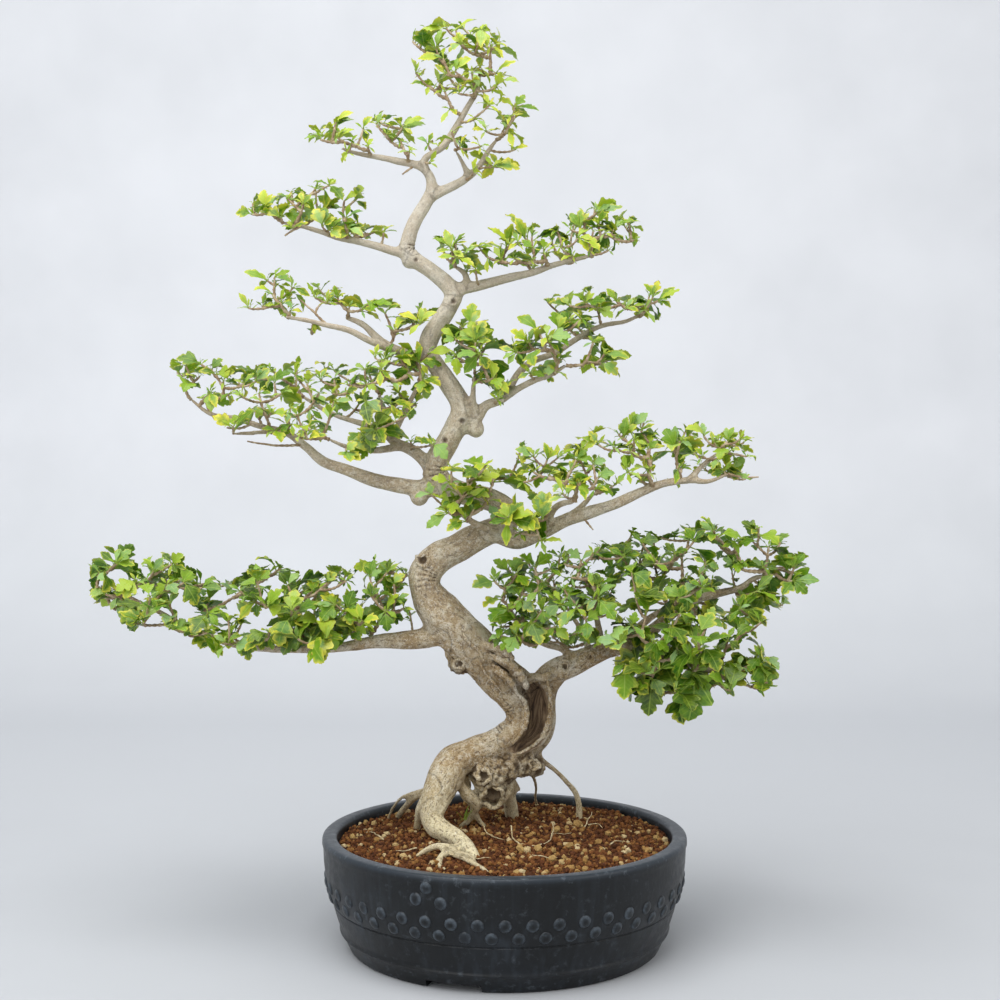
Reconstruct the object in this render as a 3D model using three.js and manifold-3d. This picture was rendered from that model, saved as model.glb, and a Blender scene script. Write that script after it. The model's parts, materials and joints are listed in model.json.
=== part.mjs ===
// Rose of sharon trained as a bonsai, standing in a round plastic drum pot filled with soil.
// Millimetres, +Z up, the viewer on the -Y side.
import * as THREE from 'three';
import { mergeGeometries, mergeVertices } from 'three/addons/utils/BufferGeometryUtils.js';
import Module from 'manifold-3d';

const wasm = await Module();
wasm.setup();

// Driving dimensions.
const gap = 0.35; // clearance between neighbouring pieces
const pot = {
  segments: 46, // one facet for each boss of a row
  rimRadius: 212,
  height: 127.5,
  lipWidth: 17,
  floor: 18, // upper face of the pot's floor
  footHeight: 9,
  footInner: 152,
  notchWidth: 62,
  notchAngle: -107.5, // degrees, the middle of the notch left of the front
  bossRadius: 6,
  bossStand: 2.4,
  bossSides: 4,
  drainRadius: 9,
  drainCircle: 95,
};
const soilEdge = 117.6; // soil height at the wall
const soilMound = 4.6; // how much higher it is in the middle

// Where a point's depth is reckoned from: the eye's place across, its distance and its height.
const view = { x: -5.3, distance: 1630, height: 515 };
const leafThick = 0.9;
const stemRadii = [2.8, 2.5, 2.4, 2.1, 1.9];
const seatHeight = 3.5; // of the stretch of a stem that a leaf grows out of
const leafGap = 0.45; // least distance between a leaf and what it isn't joined to

// A point read on the upright plane through the pot's middle, [x, z, depth behind that plane],
// moved along its line of sight to its real place.
function onSight([x, z, depth]) {
  const k = 1 + depth / view.distance;
  return new THREE.Vector3(view.x + (x - view.x) * k, depth, view.height + (z - view.height) * k);
}

// Even draw between 0 and 1 from three whole numbers.
function draw(a, b, c) {
  let h = Math.imul(a + 1, 73856093) ^ Math.imul(b + 1, 19349663) ^ Math.imul(c + 1, 83492791);
  h = Math.imul(h ^ (h >>> 15), 0x2c1b3c6d);
  h = Math.imul(h ^ (h >>> 12), 0x297a2d39);
  return ((h ^ (h >>> 15)) >>> 0) / 4294967296;
}

// Solids.
// The solid inside a closed geometry. A face whose corners all lie in one seam is left out:
// there two pieces that were drawn apart are grown together.
function solid(geometry, seams = []) {
  geometry.deleteAttribute('normal');
  geometry.deleteAttribute('uv');
  const merged = mergeVertices(geometry, 1e-4);
  const at = merged.attributes.position.array;
  const index = merged.index.array;
  const corner = (i) => new THREE.Vector3().fromArray(at, 3 * i);
  const triangles = [];
  let volume = 0;
  for (let i = 0; i < index.length; i += 3) {
    const [a, b, c] = [index[i], index[i + 1], index[i + 2]];
    if (a === b || b === c || c === a) continue;
    const inSeam = (seam) => [a, b, c].every((i) => seam.some((p) => p.distanceTo(corner(i)) < 1e-3));
    if (seams.some(inSeam)) continue;
    triangles.push([a, b, c]);
    volume += corner(a).dot(corner(b).cross(corner(c)));
  }
  const order = volume > 0 ? triangles.flat() : triangles.flatMap(([a, b, c]) => [a, c, b]);
  return new wasm.Manifold(new wasm.Mesh({
    numProp: 3,
    vertProperties: Float32Array.from(at),
    triVerts: Uint32Array.from(order),
  }));
}

function geometryOf(body) {
  const mesh = body.getMesh();
  const geometry = new THREE.BufferGeometry();
  const at = Float32Array.from(mesh.vertProperties);
  geometry.setAttribute('position', new THREE.BufferAttribute(at, 3));
  geometry.setIndex(new THREE.BufferAttribute(Uint32Array.from(mesh.triVerts), 1));
  geometry.computeVertexNormals();
  return geometry;
}

const join = (bodies) => bodies.reduce((whole, next) => whole.add(next));
const largest = (body) => body.decompose().sort((a, b) => b.volume() - a.volume())[0];

// A geometry with each of its corners carried to another place.
function moved(geometry, to) {
  const position = geometry.attributes.position;
  for (let i = 0; i < position.count; i += 1) {
    const p = to(position.getX(i), position.getY(i), position.getZ(i));
    position.setXYZ(i, p.x, p.y, p.z);
  }
  return geometry;
}

function polygon(sides) {
  const corners = [];
  for (let i = 0; i < sides; i += 1) {
    const a = (2 * Math.PI * i) / sides;
    corners.push(new THREE.Vector2(Math.cos(a), Math.sin(a)));
  }
  return new THREE.Shape(corners);
}

// Gnarled wood: how far a ring's corner stands out or in.
function gnarl(p) {
  const coarse = Math.sin(p.x * 0.11 + p.z * 0.05) * Math.sin(p.z * 0.12 - p.y * 0.1);
  const fine = Math.sin(p.x * 0.31 - p.y * 0.27) * Math.sin(p.z * 0.29 + 1.3);
  return 1 + 0.07 * coarse + 0.04 * fine;
}

// A tapering limb: a rod of radius 1 along the points, then each ring swelled to its own radius.
function limb(rows, sides, step, extra = 0) {
  const extrudePath = new THREE.CatmullRomCurve3(rows.map(onSight));
  const steps = Math.max(2, Math.round(extrudePath.getLength() / step));
  const rings = extrudePath.getSpacedPoints(steps);
  const swell = rings.map((_, i) => {
    const at = extrudePath.getUtoTmapping(i / steps) * (rows.length - 1);
    const low = Math.min(Math.floor(at), rows.length - 2);
    return rows[low][3] + (rows[low + 1][3] - rows[low][3]) * (at - low);
  });
  const settings = { steps, extrudePath, bevelEnabled: false };
  return solid(moved(new THREE.ExtrudeGeometry(polygon(sides), settings), (x, y, z) => {
    const p = new THREE.Vector3(x, y, z);
    const away = rings.map((centre) => centre.distanceToSquared(p));
    const ring = away.indexOf(Math.min(...away));
    const out = p.sub(rings[ring]);
    const rough = gnarl(out.clone().multiplyScalar(swell[ring]).add(rings[ring]));
    return rings[ring].clone().addScaledVector(out, swell[ring] * rough + extra);
  }));
}

function knot([x, z, depth, radius], extra = 0) {
  const ball = new THREE.SphereGeometry(radius + extra, 6, 4);
  ball.rotateX(Math.PI / 2);
  const at = onSight([x, z, depth]);
  ball.translate(at.x, at.y, at.z);
  return solid(ball);
}

function lathe(profile, segments) {
  const turned = new THREE.LatheGeometry(profile.map(([r, z]) => new THREE.Vector2(r, z)), segments);
  turned.rotateX(Math.PI / 2);
  return solid(turned);
}

// Pot: [radius, height] of its outline, outside then inside.
const innerWall = [
  [pot.rimRadius - pot.lipWidth, pot.height - 1.5],
  [172, pot.floor],
];
const potOutline = [
  [0, pot.footHeight],
  [pot.footInner, pot.footHeight],
  [pot.footInner + 2, 0],
  [179, 0],
  [190, 20.5],
  [188.4, 22],
  [206.3, 71],
  [211, 98],
  [pot.rimRadius, 124],
  [pot.rimRadius - 2.5, pot.height],
  [pot.rimRadius - pot.lipWidth + 1.5, pot.height],
  ...innerWall,
  [0, pot.floor],
];

function wallRadius(z) {
  const rows = potOutline.slice(4, 9);
  const i = rows.findIndex((row, k) => k < rows.length - 1 && z <= rows[k + 1][1]);
  const [[r0, z0], [r1, z1]] = [rows[i], rows[i + 1]];
  return r0 + ((r1 - r0) * (z - z0)) / (z1 - z0);
}

// A drum nail: a low stud on the wall.
function boss(angle, z) {
  const stud = new THREE.ConeGeometry(pot.bossRadius * 1.5, pot.bossStand * 2.6, pot.bossSides);
  stud.rotateZ(-Math.PI / 2);
  stud.rotateX(Math.PI / pot.bossSides);
  stud.translate(wallRadius(z) - pot.bossStand * 0.3, 0, z);
  stud.rotateZ(THREE.MathUtils.degToRad(angle));
  return solid(stud);
}

function buildPot() {
  const pitch = 360 / pot.segments;
  const [upperRow, lowerRow] = [78, 64];
  const studs = [];
  for (let i = 0; i < pot.segments; i += 1) {
    studs.push(boss((i + 0.5) * pitch, upperRow));
    studs.push(boss(i * pitch, lowerRow));
  }
  // three more below the rows, left of the front
  const cluster = [[-114.2, 51], [-117.6, 37], [-110.4, 35]];
  cluster.forEach(([angle, z]) => studs.push(boss(angle, z)));
  const shell = lathe(potOutline, pot.segments);
  const notches = [0, 120, 240].map((turn) => {
    const notch = new THREE.BoxGeometry(80, pot.notchWidth, pot.footHeight * 2 - 1);
    notch.translate(pot.footInner + 20, 0, 0);
    notch.rotateZ(THREE.MathUtils.degToRad(pot.notchAngle + turn));
    return solid(notch);
  });
  const drains = [45, 135, 225, 315].map((turn) => {
    const hole = new THREE.CylinderGeometry(pot.drainRadius, pot.drainRadius, 40, 6);
    hole.rotateX(Math.PI / 2);
    hole.translate(pot.drainCircle, 0, pot.floor);
    hole.rotateZ(THREE.MathUtils.degToRad(turn));
    return solid(hole);
  });
  return join([shell, ...studs]).subtract(join([...notches, ...drains]));
}

// Wood: [x, z, depth, radius] along each piece.
const trunkLow = [
  [-30, 83, -113, 5], [-37, 96, -98, 7.5], [-45, 107, -74, 9.5], [-55, 117, -52, 10.5],
  [-69, 125, -28, 11.5], [-81, 133, -13, 12.5], [-86, 145, -6, 13.5], [-82, 159, -2, 16],
  [-76, 175, 5, 20], [-68, 193, 14, 22], [-57, 209, 24, 20.5], [-35, 219, 34, 19],
  [-11, 229, 42, 17.5], [7, 241, 46, 16.5], [15, 255, 48, 14.5], [14, 269, 46, 14.5],
  [5, 284, 42, 16.5], [-4, 295, 40, 18], [-17, 315, 36, 21.5], [-32, 337, 31, 26],
];
const trunkMid = [
  [-17, 315, 36, 20], [-32, 337, 31, 26], [-54, 360, 26, 27.5], [-73, 380, 20, 26],
  [-86, 398, 15, 22], [-93, 411, 12, 19], [-94, 424, 10, 19], [-89, 437, 9, 19],
  [-76, 449, 9, 18.5], [-58, 457, 10, 17.5], [-40, 467, 11, 17], [-20, 477, 12, 16],
  [-2, 486, 13, 14.5], [5, 494, 13, 13],
];
const trunkHigh = [
  [4, 488, 13, 13.5], [4, 500, 12, 14], [-8, 511, 11, 14], [-28, 519, 9, 13.5],
  [-55, 525, 7, 14], [-74, 534, 5, 15.5], [-82, 550, 4, 15], [-76, 568, 3, 14],
  [-66, 585, 2, 14], [-57, 601, 1, 14], [-50, 615, 0, 13.5], [-52, 630, 0, 12],
  [-62, 646, 1, 12], [-71, 660, 2, 11.5], [-80, 673, 3, 11], [-90, 690, 4, 11],
  [-86, 709, 4, 11.5], [-76, 724, 4, 11], [-66, 739, 3, 10.5], [-59, 754, 2, 11],
];
const trunkTop = [
  [-66, 739, 3, 9.5], [-59, 755, 2, 10.5], [-70, 771, 2, 10.6], [-87, 785, 2, 9.6],
  [-104, 796, 2, 9.6], [-115, 808, 2, 9.6], [-113, 821, 1, 9.4], [-108, 835, 0, 8.8],
  [-101, 849, 0, 8.2], [-92, 864, 0, 8], [-84, 879, 0, 7.8],
];
const rightTrunk = [
  [-2, 221, 44, 13], [10, 224, 52, 17], [24, 230, 57, 20], [36, 241, 60, 21],
  [41, 256, 61, 20.5], [41, 272, 60, 20], [43, 288, 57, 19], [50, 303, 53, 17.5],
  [62, 315, 48, 16], [76, 320, 44, 15.3], [100, 331, 38, 13.5], [122, 340, 32, 11.5],
  [140, 344, 28, 9.5],
];
const hollow = [
  [16, 222, 34, 4], [26, 231, 36, 8], [35, 242, 38, 9], [39, 256, 39, 9.5],
  [40, 272, 39, 9.5], [36, 286, 37, 8], [32, 296, 36, 4],
];
const roots = [
  [[4, 197, 45, 8], [5, 176, 64, 8.4], [7, 157, 84, 8.4], [9, 142, 98, 8.4], [10, 131, 103, 8]],
  [[-53, 184, 18, 5.5], [-44, 169, 24, 8.5], [-34, 159, 32, 8], [-37, 148, 38, 4.6],
    [-43, 138, 44, 4.2], [-53, 130, 48, 3.6], [-60, 124, 50, 3]],
  [[-36, 150, 38, 4], [-28, 136, 45, 3.6], [-19, 129, 49, 3], [-12, 123, 50, 2.4]],
  [[42, 211, 60, 4], [60, 197, 66, 3.3], [73, 184, 72, 3.5], [83, 172, 78, 4],
    [87, 159, 82, 4.2], [88, 142, 86, 4.5], [88, 130, 88, 4]],
  [[26, 200, 62, 3.4], [34, 189, 88, 2.8], [37, 178, 126, 2.7], [36, 166, 160, 2.6],
    [38, 157, 176, 2.4], [39, 149, 182, 2.4]],
  [[6, 194, 55, 4], [12, 184, 64, 3.2], [18, 174, 70, 2.6]],
  [[-80, 178, 8, 4], [-104, 172, 32, 2.8], [-120, 166, 56, 2.5], [-130, 155, 80, 2.4],
    [-136, 142, 97, 2.4], [-138, 132, 104, 2.2]],
  [[-84, 176, 6, 6], [-105, 166, 38, 5], [-116, 155, 78, 4.6], [-124, 144, 104, 4.4],
    [-128, 134, 114, 4.2]],
  [[-86, 174, 0, 8], [-97, 154, 8, 7], [-101, 139, 20, 5.4], [-103, 127, 34, 4.6],
    [-103, 116, 40, 4.2]],
  [[-46, 106, -68, 6.5], [-62, 106, -82, 6], [-78, 108, -86, 5.2], [-92, 104, -88, 4.4],
    [-103, 96, -90, 3.8], [-108, 87, -92, 3]],
  [[-56, 104, -80, 6.5], [-60, 98, -98, 6], [-48, 93, -118, 5], [-36, 85, -136, 4.4],
    [-23, 78, -152, 3.8], [-12, 68, -160, 3]],
  [[-66, 103, -84, 6], [-75, 95, -104, 5.2], [-76, 87, -126, 4.4], [-68, 78, -144, 3.6],
    [-60, 70, -150, 3]],
];
const burls = [
  [-25, 194, 24, 14], [-14, 176, 30, 15], [3, 198, 34, 14.5], [19, 203, 44, 14],
  [35, 203, 52, 13], [-53, 322, 30, 13], [-62, 334, 30, 9], [-34, 598, 2, 10.5],
  [-93, 443, 0, 11], [-112, 795, 2, 9], [-100, 518, 2, 10.5], [4, 492, 13, 13.2],
];
const callus = [
  [[31, 301, 50, 8], [22, 309, 40, 8], [8, 321, 26, 7.5], [-6, 335, 16, 6.5]],
  [[33, 300, 54, 8], [44, 309, 46, 8], [58, 316, 36, 6]],
];
const pits = [[-14, 170, 17, 8], [-24, 192, 11, 4], [-97, 446, -10, 5]];

const limbs = {
  low: [[-78, 358, 22, 14], [-105, 351, 20, 12], [-137, 350, 14, 9.5], [-164, 347, 8, 7.5],
    [-205, 341, 0, 6], [-261, 340, -6, 5], [-316, 345, -10, 4.5], [-371, 365, -12, 4],
    [-404, 383, -12, 3.4], [-427, 394, -12, 3], [-457, 410, -12, 2.2], [-482, 412, -12, 1.5]],
  right: [[128, 341, 30, 11], [140, 344, 28, 9.5], [165, 356, 22, 8.3], [190, 376, 16, 7.2],
    [216, 396, 10, 6.3], [246, 404, 6, 5.4], [277, 412, 2, 4.6], [293, 423, 0, 3.6],
    [318, 428, 0, 2.2]],
  rightFront: [[126, 342, 30, 8], [158, 338, -4, 6.5], [190, 330, -28, 5.5],
    [222, 321, -40, 4.5], [254, 313, -44, 3.5], [282, 316, -46, 2.4]],
  rightBack: [[146, 350, 26, 7], [165, 372, 60, 5.2], [190, 388, 90, 4.2], [220, 401, 112, 2.8]],
  rightUp: [[112, 338, 36, 7], [112, 356, 30, 5], [108, 376, 20, 4.2], [104, 396, 6, 3]],
  rightLeft: [[86, 326, 44, 7], [68, 340, 36, 5], [48, 346, 24, 4.4], [28, 358, 12, 3.8],
    [12, 378, 2, 3], [2, 394, -6, 2.4]],
  rightRear: [[100, 333, 42, 6], [96, 350, 70, 4.4], [84, 372, 94, 3.4], [72, 390, 106, 2.4]],
  waist: [[-10, 478, 14, 13], [14, 467, 10, 10.5], [44, 477, 4, 9], [73, 492, -2, 8.3],
    [101, 501, -6, 7.8], [131, 511, -8, 7], [164, 526, -10, 6], [189, 535, -10, 5],
    [219, 538, -10, 4.2], [240, 537, -12, 3.2], [264, 546, -14, 2.4]],
  waistUp: [[216, 538, -10, 4.2], [233, 556, -4, 3.4], [252, 571, 0, 2.2]],
  waistFront: [[-6, 478, 4, 8], [-20, 482, -16, 5.5], [-36, 488, -28, 4.5], [-52, 500, -38, 3.5]],
  waistBack: [[70, 491, 0, 6], [88, 505, 34, 4.4], [104, 522, 64, 3.4]],
  waistStub: [[46, 480, 2, 6], [57, 503, -14, 4.6], [68, 511, -24, 4.2], [82, 513, -32, 3]],
  left: [[-72, 530, 8, 12], [-107, 530, 4, 9.5], [-148, 537, 0, 8.6], [-188, 551, -4, 7],
    [-213, 560, -6, 6.4], [-234, 578, -6, 5.6], [-256, 594, -6, 5], [-285, 601, -8, 4.4],
    [-313, 610, -8, 3.8], [-345, 616, -10, 3.2], [-368, 633, -10, 2.3]],
  leftFront: [[-264, 597, -6, 4.4], [-292, 594, -24, 3], [-318, 593, -38, 2.2]],
  leftUp: [[-78, 546, 8, 11], [-105, 571, 14, 7.4], [-128, 583, 20, 6.4], [-140, 597, 26, 5.4],
    [-144, 618, 30, 4.2], [-147, 640, 32, 2.8]],
  leftUpFront: [[-132, 588, 22, 5.5], [-120, 612, 12, 4], [-109, 634, 4, 3.4], [-99, 656, -6, 2.6]],
  leftMid: [[-122, 578, 18, 6], [-152, 573, -4, 4.4], [-181, 576, -24, 3.6], [-206, 586, -38, 2.4]],
  leftBack: [[-136, 596, 26, 5.5], [-172, 606, 44, 4.2], [-206, 618, 56, 3.4], [-236, 636, 64, 2.6]],
  upRight: [[-50, 601, 2, 10], [-33, 612, 0, 7.4], [-22, 626, -2, 6.2], [-8, 631, -4, 5.8],
    [4, 638, -6, 5.4], [18, 647, -10, 4.8], [36, 656, -14, 4.2], [55, 662, -16, 3.6],
    [72, 673, -18, 2.6]],
  upRightBack: [[2, 636, -6, 5.4], [14, 660, 4, 5], [32, 677, 12, 4.8], [60, 688, 18, 4.4],
    [86, 705, 22, 4], [113, 719, 24, 3.6], [143, 725, 24, 3.2], [165, 736, 24, 2.4]],
  upRightShoot: [[-35, 612, 0, 6], [-37, 636, -8, 4], [-35, 660, -14, 2.8]],
  upLeft: [[-86, 690, 6, 9], [-106, 684, 6, 7], [-134, 694, 4, 6.2], [-150, 706, 4, 5.4],
    [-166, 721, 4, 4.4], [-187, 730, 6, 3]],
  upLeftFront: [[-136, 693, 4, 6], [-160, 703, -8, 4.6], [-182, 714, -14, 4.2],
    [-208, 720, -18, 3.8], [-233, 726, -20, 3.2], [-258, 730, -22, 2.4]],
  crownRight: [[-62, 762, 4, 9], [-42, 764, 2, 7], [-17, 770, 0, 6.2], [6, 776, -2, 5.6],
    [33, 782, -4, 4.8], [58, 791, -4, 4.2], [83, 797, -6, 3.2], [106, 803, -8, 2.4]],
  crownShoot: [[-44, 764, 2, 5.5], [-46, 780, 8, 4], [-58, 789, 10, 2.8]],
  crownLeft: [[-108, 802, 2, 8], [-126, 806, 2, 6], [-150, 813, 0, 5.2], [-175, 819, -2, 4.6],
    [-196, 823, -4, 4], [-216, 830, -4, 3.6], [-238, 836, -6, 3], [-264, 841, -6, 2.2]],
  topLeft: [[-86, 872, 0, 8], [-86, 890, -2, 6.4], [-94, 903, -4, 5.8], [-106, 909, -4, 5.2],
    [-122, 912, -4, 4.8], [-140, 916, -2, 4.2], [-158, 919, 0, 3.6], [-178, 923, 0, 3],
    [-192, 928, 0, 2.2]],
  leader: [[-92, 900, -4, 5.4], [-94, 915, -6, 4.6], [-84, 922, -8, 4.4], [-71, 931, -8, 4.6],
    [-57, 952, -6, 4.6], [-43, 977, -4, 4.2], [-32, 996, -2, 3.6], [-29, 1018, 0, 2.6]],
  topRight: [[-86, 872, 0, 8], [-68, 880, 2, 6.2], [-52, 888, 4, 5.6], [-40, 896, 6, 5],
    [-29, 908, 8, 4.4], [-18, 926, 10, 3.4], [-9, 938, 12, 2.4]],
  topShoot: [[-42, 895, 5, 4.6], [-50, 912, -4, 3], [-58, 926, -12, 2]],
};

function buildWood(extra) {
  const bodies = [
    limb(trunkLow, 8, 23, extra),
    limb(trunkMid, 8, 25, extra),
    limb(trunkHigh, 7, 23, extra),
    limb(trunkTop, 6, 24, extra),
    limb(rightTrunk, 8, 24, extra),
    ...roots.map((rows) => limb(rows, 4, 30, extra)),
    ...callus.map((rows) => limb(rows, 4, 20, extra)),
    ...burls.map((row) => knot(row, extra)),
    ...Object.values(limbs).map((rows) => limb(rows, rows[1][3] > 7.1 ? 5 : 4, 50, extra)),
  ];
  const wood = join(bodies);
  if (extra > 0) return wood;
  const cuts = [limb(hollow, 6, 14), ...pits.map((row) => knot(row))];
  return wood.subtract(join(cuts));
}

// Soil: fills the pot, with a hole round each root.
function buildSoil(roomyWood) {
  const [[topRadius, topHeight], [footRadius]] = innerWall;
  const slope = (topRadius - footRadius) / (topHeight - pot.floor);
  const radiusAt = (z) => footRadius + slope * (z - pot.floor) - gap * 1.4;
  const outline = [
    [0, pot.floor + gap],
    [radiusAt(pot.floor + gap), pot.floor + gap],
    [radiusAt(soilEdge), soilEdge],
    [80, soilEdge + soilMound],
    [0, soilEdge + soilMound],
  ];
  return largest(lathe(outline, pot.segments).subtract(roomyWood));
}

// Leafy sprays.
// Blade: [across, along] of its edge, as shares of its length, from the lobe on the right round
// the tip to the lobe on the left.
const smallBlade = [[0.36, 0.54], [0.2, 0.68], [0, 1], [-0.2, 0.68], [-0.36, 0.54]];
const largeBlade = [
  [0.4, 0.5], [0.24, 0.63], [0.27, 0.79], [0, 1], [-0.27, 0.79], [-0.24, 0.63], [-0.4, 0.5],
];
const largeLeaf = 37; // from this length on a blade has its extra teeth

// [limb, its point, middle of the leaves as read, reach across, deep and up, leaf length, leaves]
const sprays = {
  leader_tip: ['leader', 7, [-34, 1046, 4], [42, 40, 34], 28, 6],
  leader_left: ['leader', 5, [-76, 1008, 18], [38, 40, 32], 28, 5],
  leader_right: ['leader', 6, [-10, 1002, -22], [30, 36, 30], 27, 5],
  top_right: ['topRight', 6, [4, 962, 14], [36, 40, 30], 28, 5],
  top_front: ['topShoot', 2, [-62, 948, -28], [38, 36, 24], 28, 5],
  top_left_tip: ['topLeft', 8, [-200, 950, 6], [34, 36, 26], 28, 5],
  top_left_mid: ['topLeft', 5, [-140, 944, -12], [34, 36, 26], 30, 5],
  crown_left_tip: ['crownLeft', 7, [-280, 858, -10], [38, 40, 26], 31, 5],
  crown_left_mid: ['crownLeft', 5, [-206, 862, 6], [38, 42, 30], 32, 5],
  crown_shoot: ['crownShoot', 2, [-74, 816, 22], [28, 30, 24], 27, 5],
  crown_right_near: ['crownRight', 3, [2, 814, -22], [38, 40, 30], 32, 5],
  crown_right_mid: ['crownRight', 5, [56, 820, 30], [38, 42, 28], 31, 5],
  crown_right_tip: ['crownRight', 7, [116, 834, -6], [42, 42, 28], 32, 6],
  up_left_tip: ['upLeftFront', 5, [-268, 752, -24], [42, 40, 30], 31, 6],
  up_left_mid: ['upLeft', 5, [-198, 752, 16], [42, 44, 28], 31, 5],
  up_right_shoot: ['upRightShoot', 2, [-36, 694, -22], [36, 38, 44], 40, 5],
  up_right_near: ['upRight', 5, [26, 696, -40], [42, 42, 34], 34, 5],
  up_right_mid: ['upRightBack', 3, [76, 718, 38], [42, 46, 32], 33, 5],
  up_right_high: ['upRightBack', 5, [108, 748, 4], [44, 44, 26], 33, 6],
  up_right_tip: ['upRightBack', 7, [171, 756, 16], [40, 38, 24], 31, 5],
  left_tip: ['left', 10, [-361, 660, -6], [38, 38, 26], 31, 6],
  left_low: ['left', 6, [-276, 618, -44], [40, 40, 30], 33, 6],
  left_back: ['leftBack', 3, [-248, 654, 70], [40, 44, 26], 32, 5],
  left_front: ['leftMid', 3, [-206, 616, -56], [40, 42, 34], 33, 5],
  left_high: ['leftUp', 5, [-160, 664, 34], [42, 46, 34], 34, 5],
  left_inner: ['leftUpFront', 3, [-106, 686, -14], [42, 42, 28], 37, 5],
  left_under: ['leftMid', 1, [-158, 594, -40], [36, 34, 26], 37, 5],
  waist_front: ['waistFront', 3, [-60, 528, -54], [42, 34, 26], 30, 5],
  waist_rosette: ['waist', 1, [10, 492, -40], [34, 28, 22], 38, 5],
  waist_near: ['waistStub', 1, [38, 552, -14], [38, 40, 30], 34, 5],
  waist_stub: ['waistStub', 3, [90, 536, -52], [42, 40, 30], 35, 5],
  waist_back: ['waistBack', 2, [108, 562, 72], [46, 46, 34], 34, 6],
  waist_mid: ['waist', 6, [148, 578, -12], [42, 44, 34], 35, 5],
  waist_outer: ['waist', 7, [200, 574, 12], [34, 40, 28], 31, 5],
  waist_tip: ['waistUp', 2, [262, 582, -4], [40, 40, 24], 31, 6],
  low_tip: ['low', 11, [-462, 438, -14], [38, 42, 28], 33, 6],
  low_outer: ['low', 8, [-408, 428, 28], [42, 46, 30], 34, 5],
  low_outer_front: ['low', 7, [-396, 392, -48], [42, 40, 32], 34, 5],
  low_back: ['low', 6, [-346, 402, 34], [42, 48, 32], 34, 5],
  low_front: ['low', 5, [-324, 374, -50], [46, 42, 36], 37, 6],
  low_hanging: ['low', 4, [-256, 366, -54], [46, 42, 40], 38, 6],
  low_inner_back: ['low', 4, [-222, 396, 44], [42, 46, 34], 35, 5],
  low_inner_front: ['low', 3, [-204, 372, -46], [44, 42, 40], 37, 5],
  low_near: ['low', 2, [-152, 408, 4], [42, 46, 34], 34, 5],
  right_inner: ['rightLeft', 5, [2, 410, -16], [38, 42, 34], 29, 5],
  right_rear: ['rightRear', 3, [58, 420, 104], [46, 48, 32], 33, 5],
  right_up: ['rightUp', 3, [92, 424, -20], [46, 46, 32], 35, 5],
  right_back: ['rightBack', 1, [146, 432, 58], [46, 48, 34], 35, 6],
  right_hanging: ['rightFront', 2, [168, 312, -62], [46, 42, 44], 44, 6],
  right_hanging_outer: ['rightFront', 4, [228, 318, -64], [46, 42, 46], 44, 6],
  right_front: ['right', 3, [168, 388, -50], [48, 44, 38], 38, 6],
  right_high: ['right', 4, [210, 448, 4], [46, 46, 32], 35, 5],
  right_far_back: ['rightBack', 3, [236, 428, 112], [46, 46, 32], 34, 6],
  right_outer: ['right', 6, [276, 448, -24], [44, 44, 32], 35, 6],
  right_tip: ['right', 8, [334, 434, 6], [40, 42, 32], 33, 6],
  right_low_tip: ['rightFront', 5, [310, 326, -50], [36, 38, 36], 36, 5],
};

const golden = 2.399963; // radians between one shoot or leaf and the next
const upright = new THREE.Vector3(0, 0, 1);

// The spray's own stem, from inside its branch to the middle of its leaves.
function stemOf([name, point, hub], [sag, swing]) {
  const foot = onSight(limbs[name][point]);
  const head = onSight(hub);
  const rise = head.clone().sub(foot);
  const bend = foot.clone().addScaledVector(rise, 0.5);
  bend.z -= sag * rise.length();
  bend.addScaledVector(rise.clone().cross(upright), swing);
  return new THREE.QuadraticBezierCurve3(foot, bend, head);
}

// The part of a direction that stands square to an axis.
const radial = (v, axis) => v.clone().addScaledVector(axis, -v.dot(axis)).normalize();

// A stem: a square rod along a curve, with short stretches and a tip that leaves can grow out of.
// Each such seat is the four corners of a face, anticlockwise from outside.
function stemOn(curve, turn) {
  const high = seatHeight / curve.getLength();
  const low = Math.min(0.6, 0.99 - 2.8 * high);
  const shares = [0, low, low + high, 0.99 - high, 0.99];
  let side = new THREE.Vector3(Math.cos(turn), Math.sin(turn), 0);
  const rings = shares.map((share, i) => {
    const axis = curve.getTangent(share);
    side = radial(side, axis);
    const front = axis.clone().cross(side);
    return [0, 1, 2, 3].map((c) => curve.getPoint(share)
      .addScaledVector(side, stemRadii[i] * Math.cos((Math.PI / 2) * c))
      .addScaledVector(front, stemRadii[i] * Math.sin((Math.PI / 2) * c)));
  });
  const steps = rings.length - 1;
  const geometry = moved(
    new THREE.ExtrudeGeometry(polygon(4), { depth: 1, steps, bevelEnabled: false }),
    (x, y, z) => rings[Math.round(z * steps)][(Math.round(Math.atan2(y, x) / (Math.PI / 2)) + 4) % 4],
  );
  const faces = [1, 3].flatMap((i) => [0, 1, 2, 3].map((c) => {
    const next = (c + 1) % 4;
    return [rings[i][c], rings[i][next], rings[i + 1][next], rings[i + 1][c]];
  }));
  const seats = [...faces, rings[steps]].map((corners) => {
    const out = corners[2].clone().sub(corners[0]).cross(corners[3].clone().sub(corners[1])).normalize();
    const middle = corners.reduce((sum, p) => sum.add(p), new THREE.Vector3()).multiplyScalar(0.25);
    return { corners, out, middle };
  });
  return { geometry, seats };
}

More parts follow.
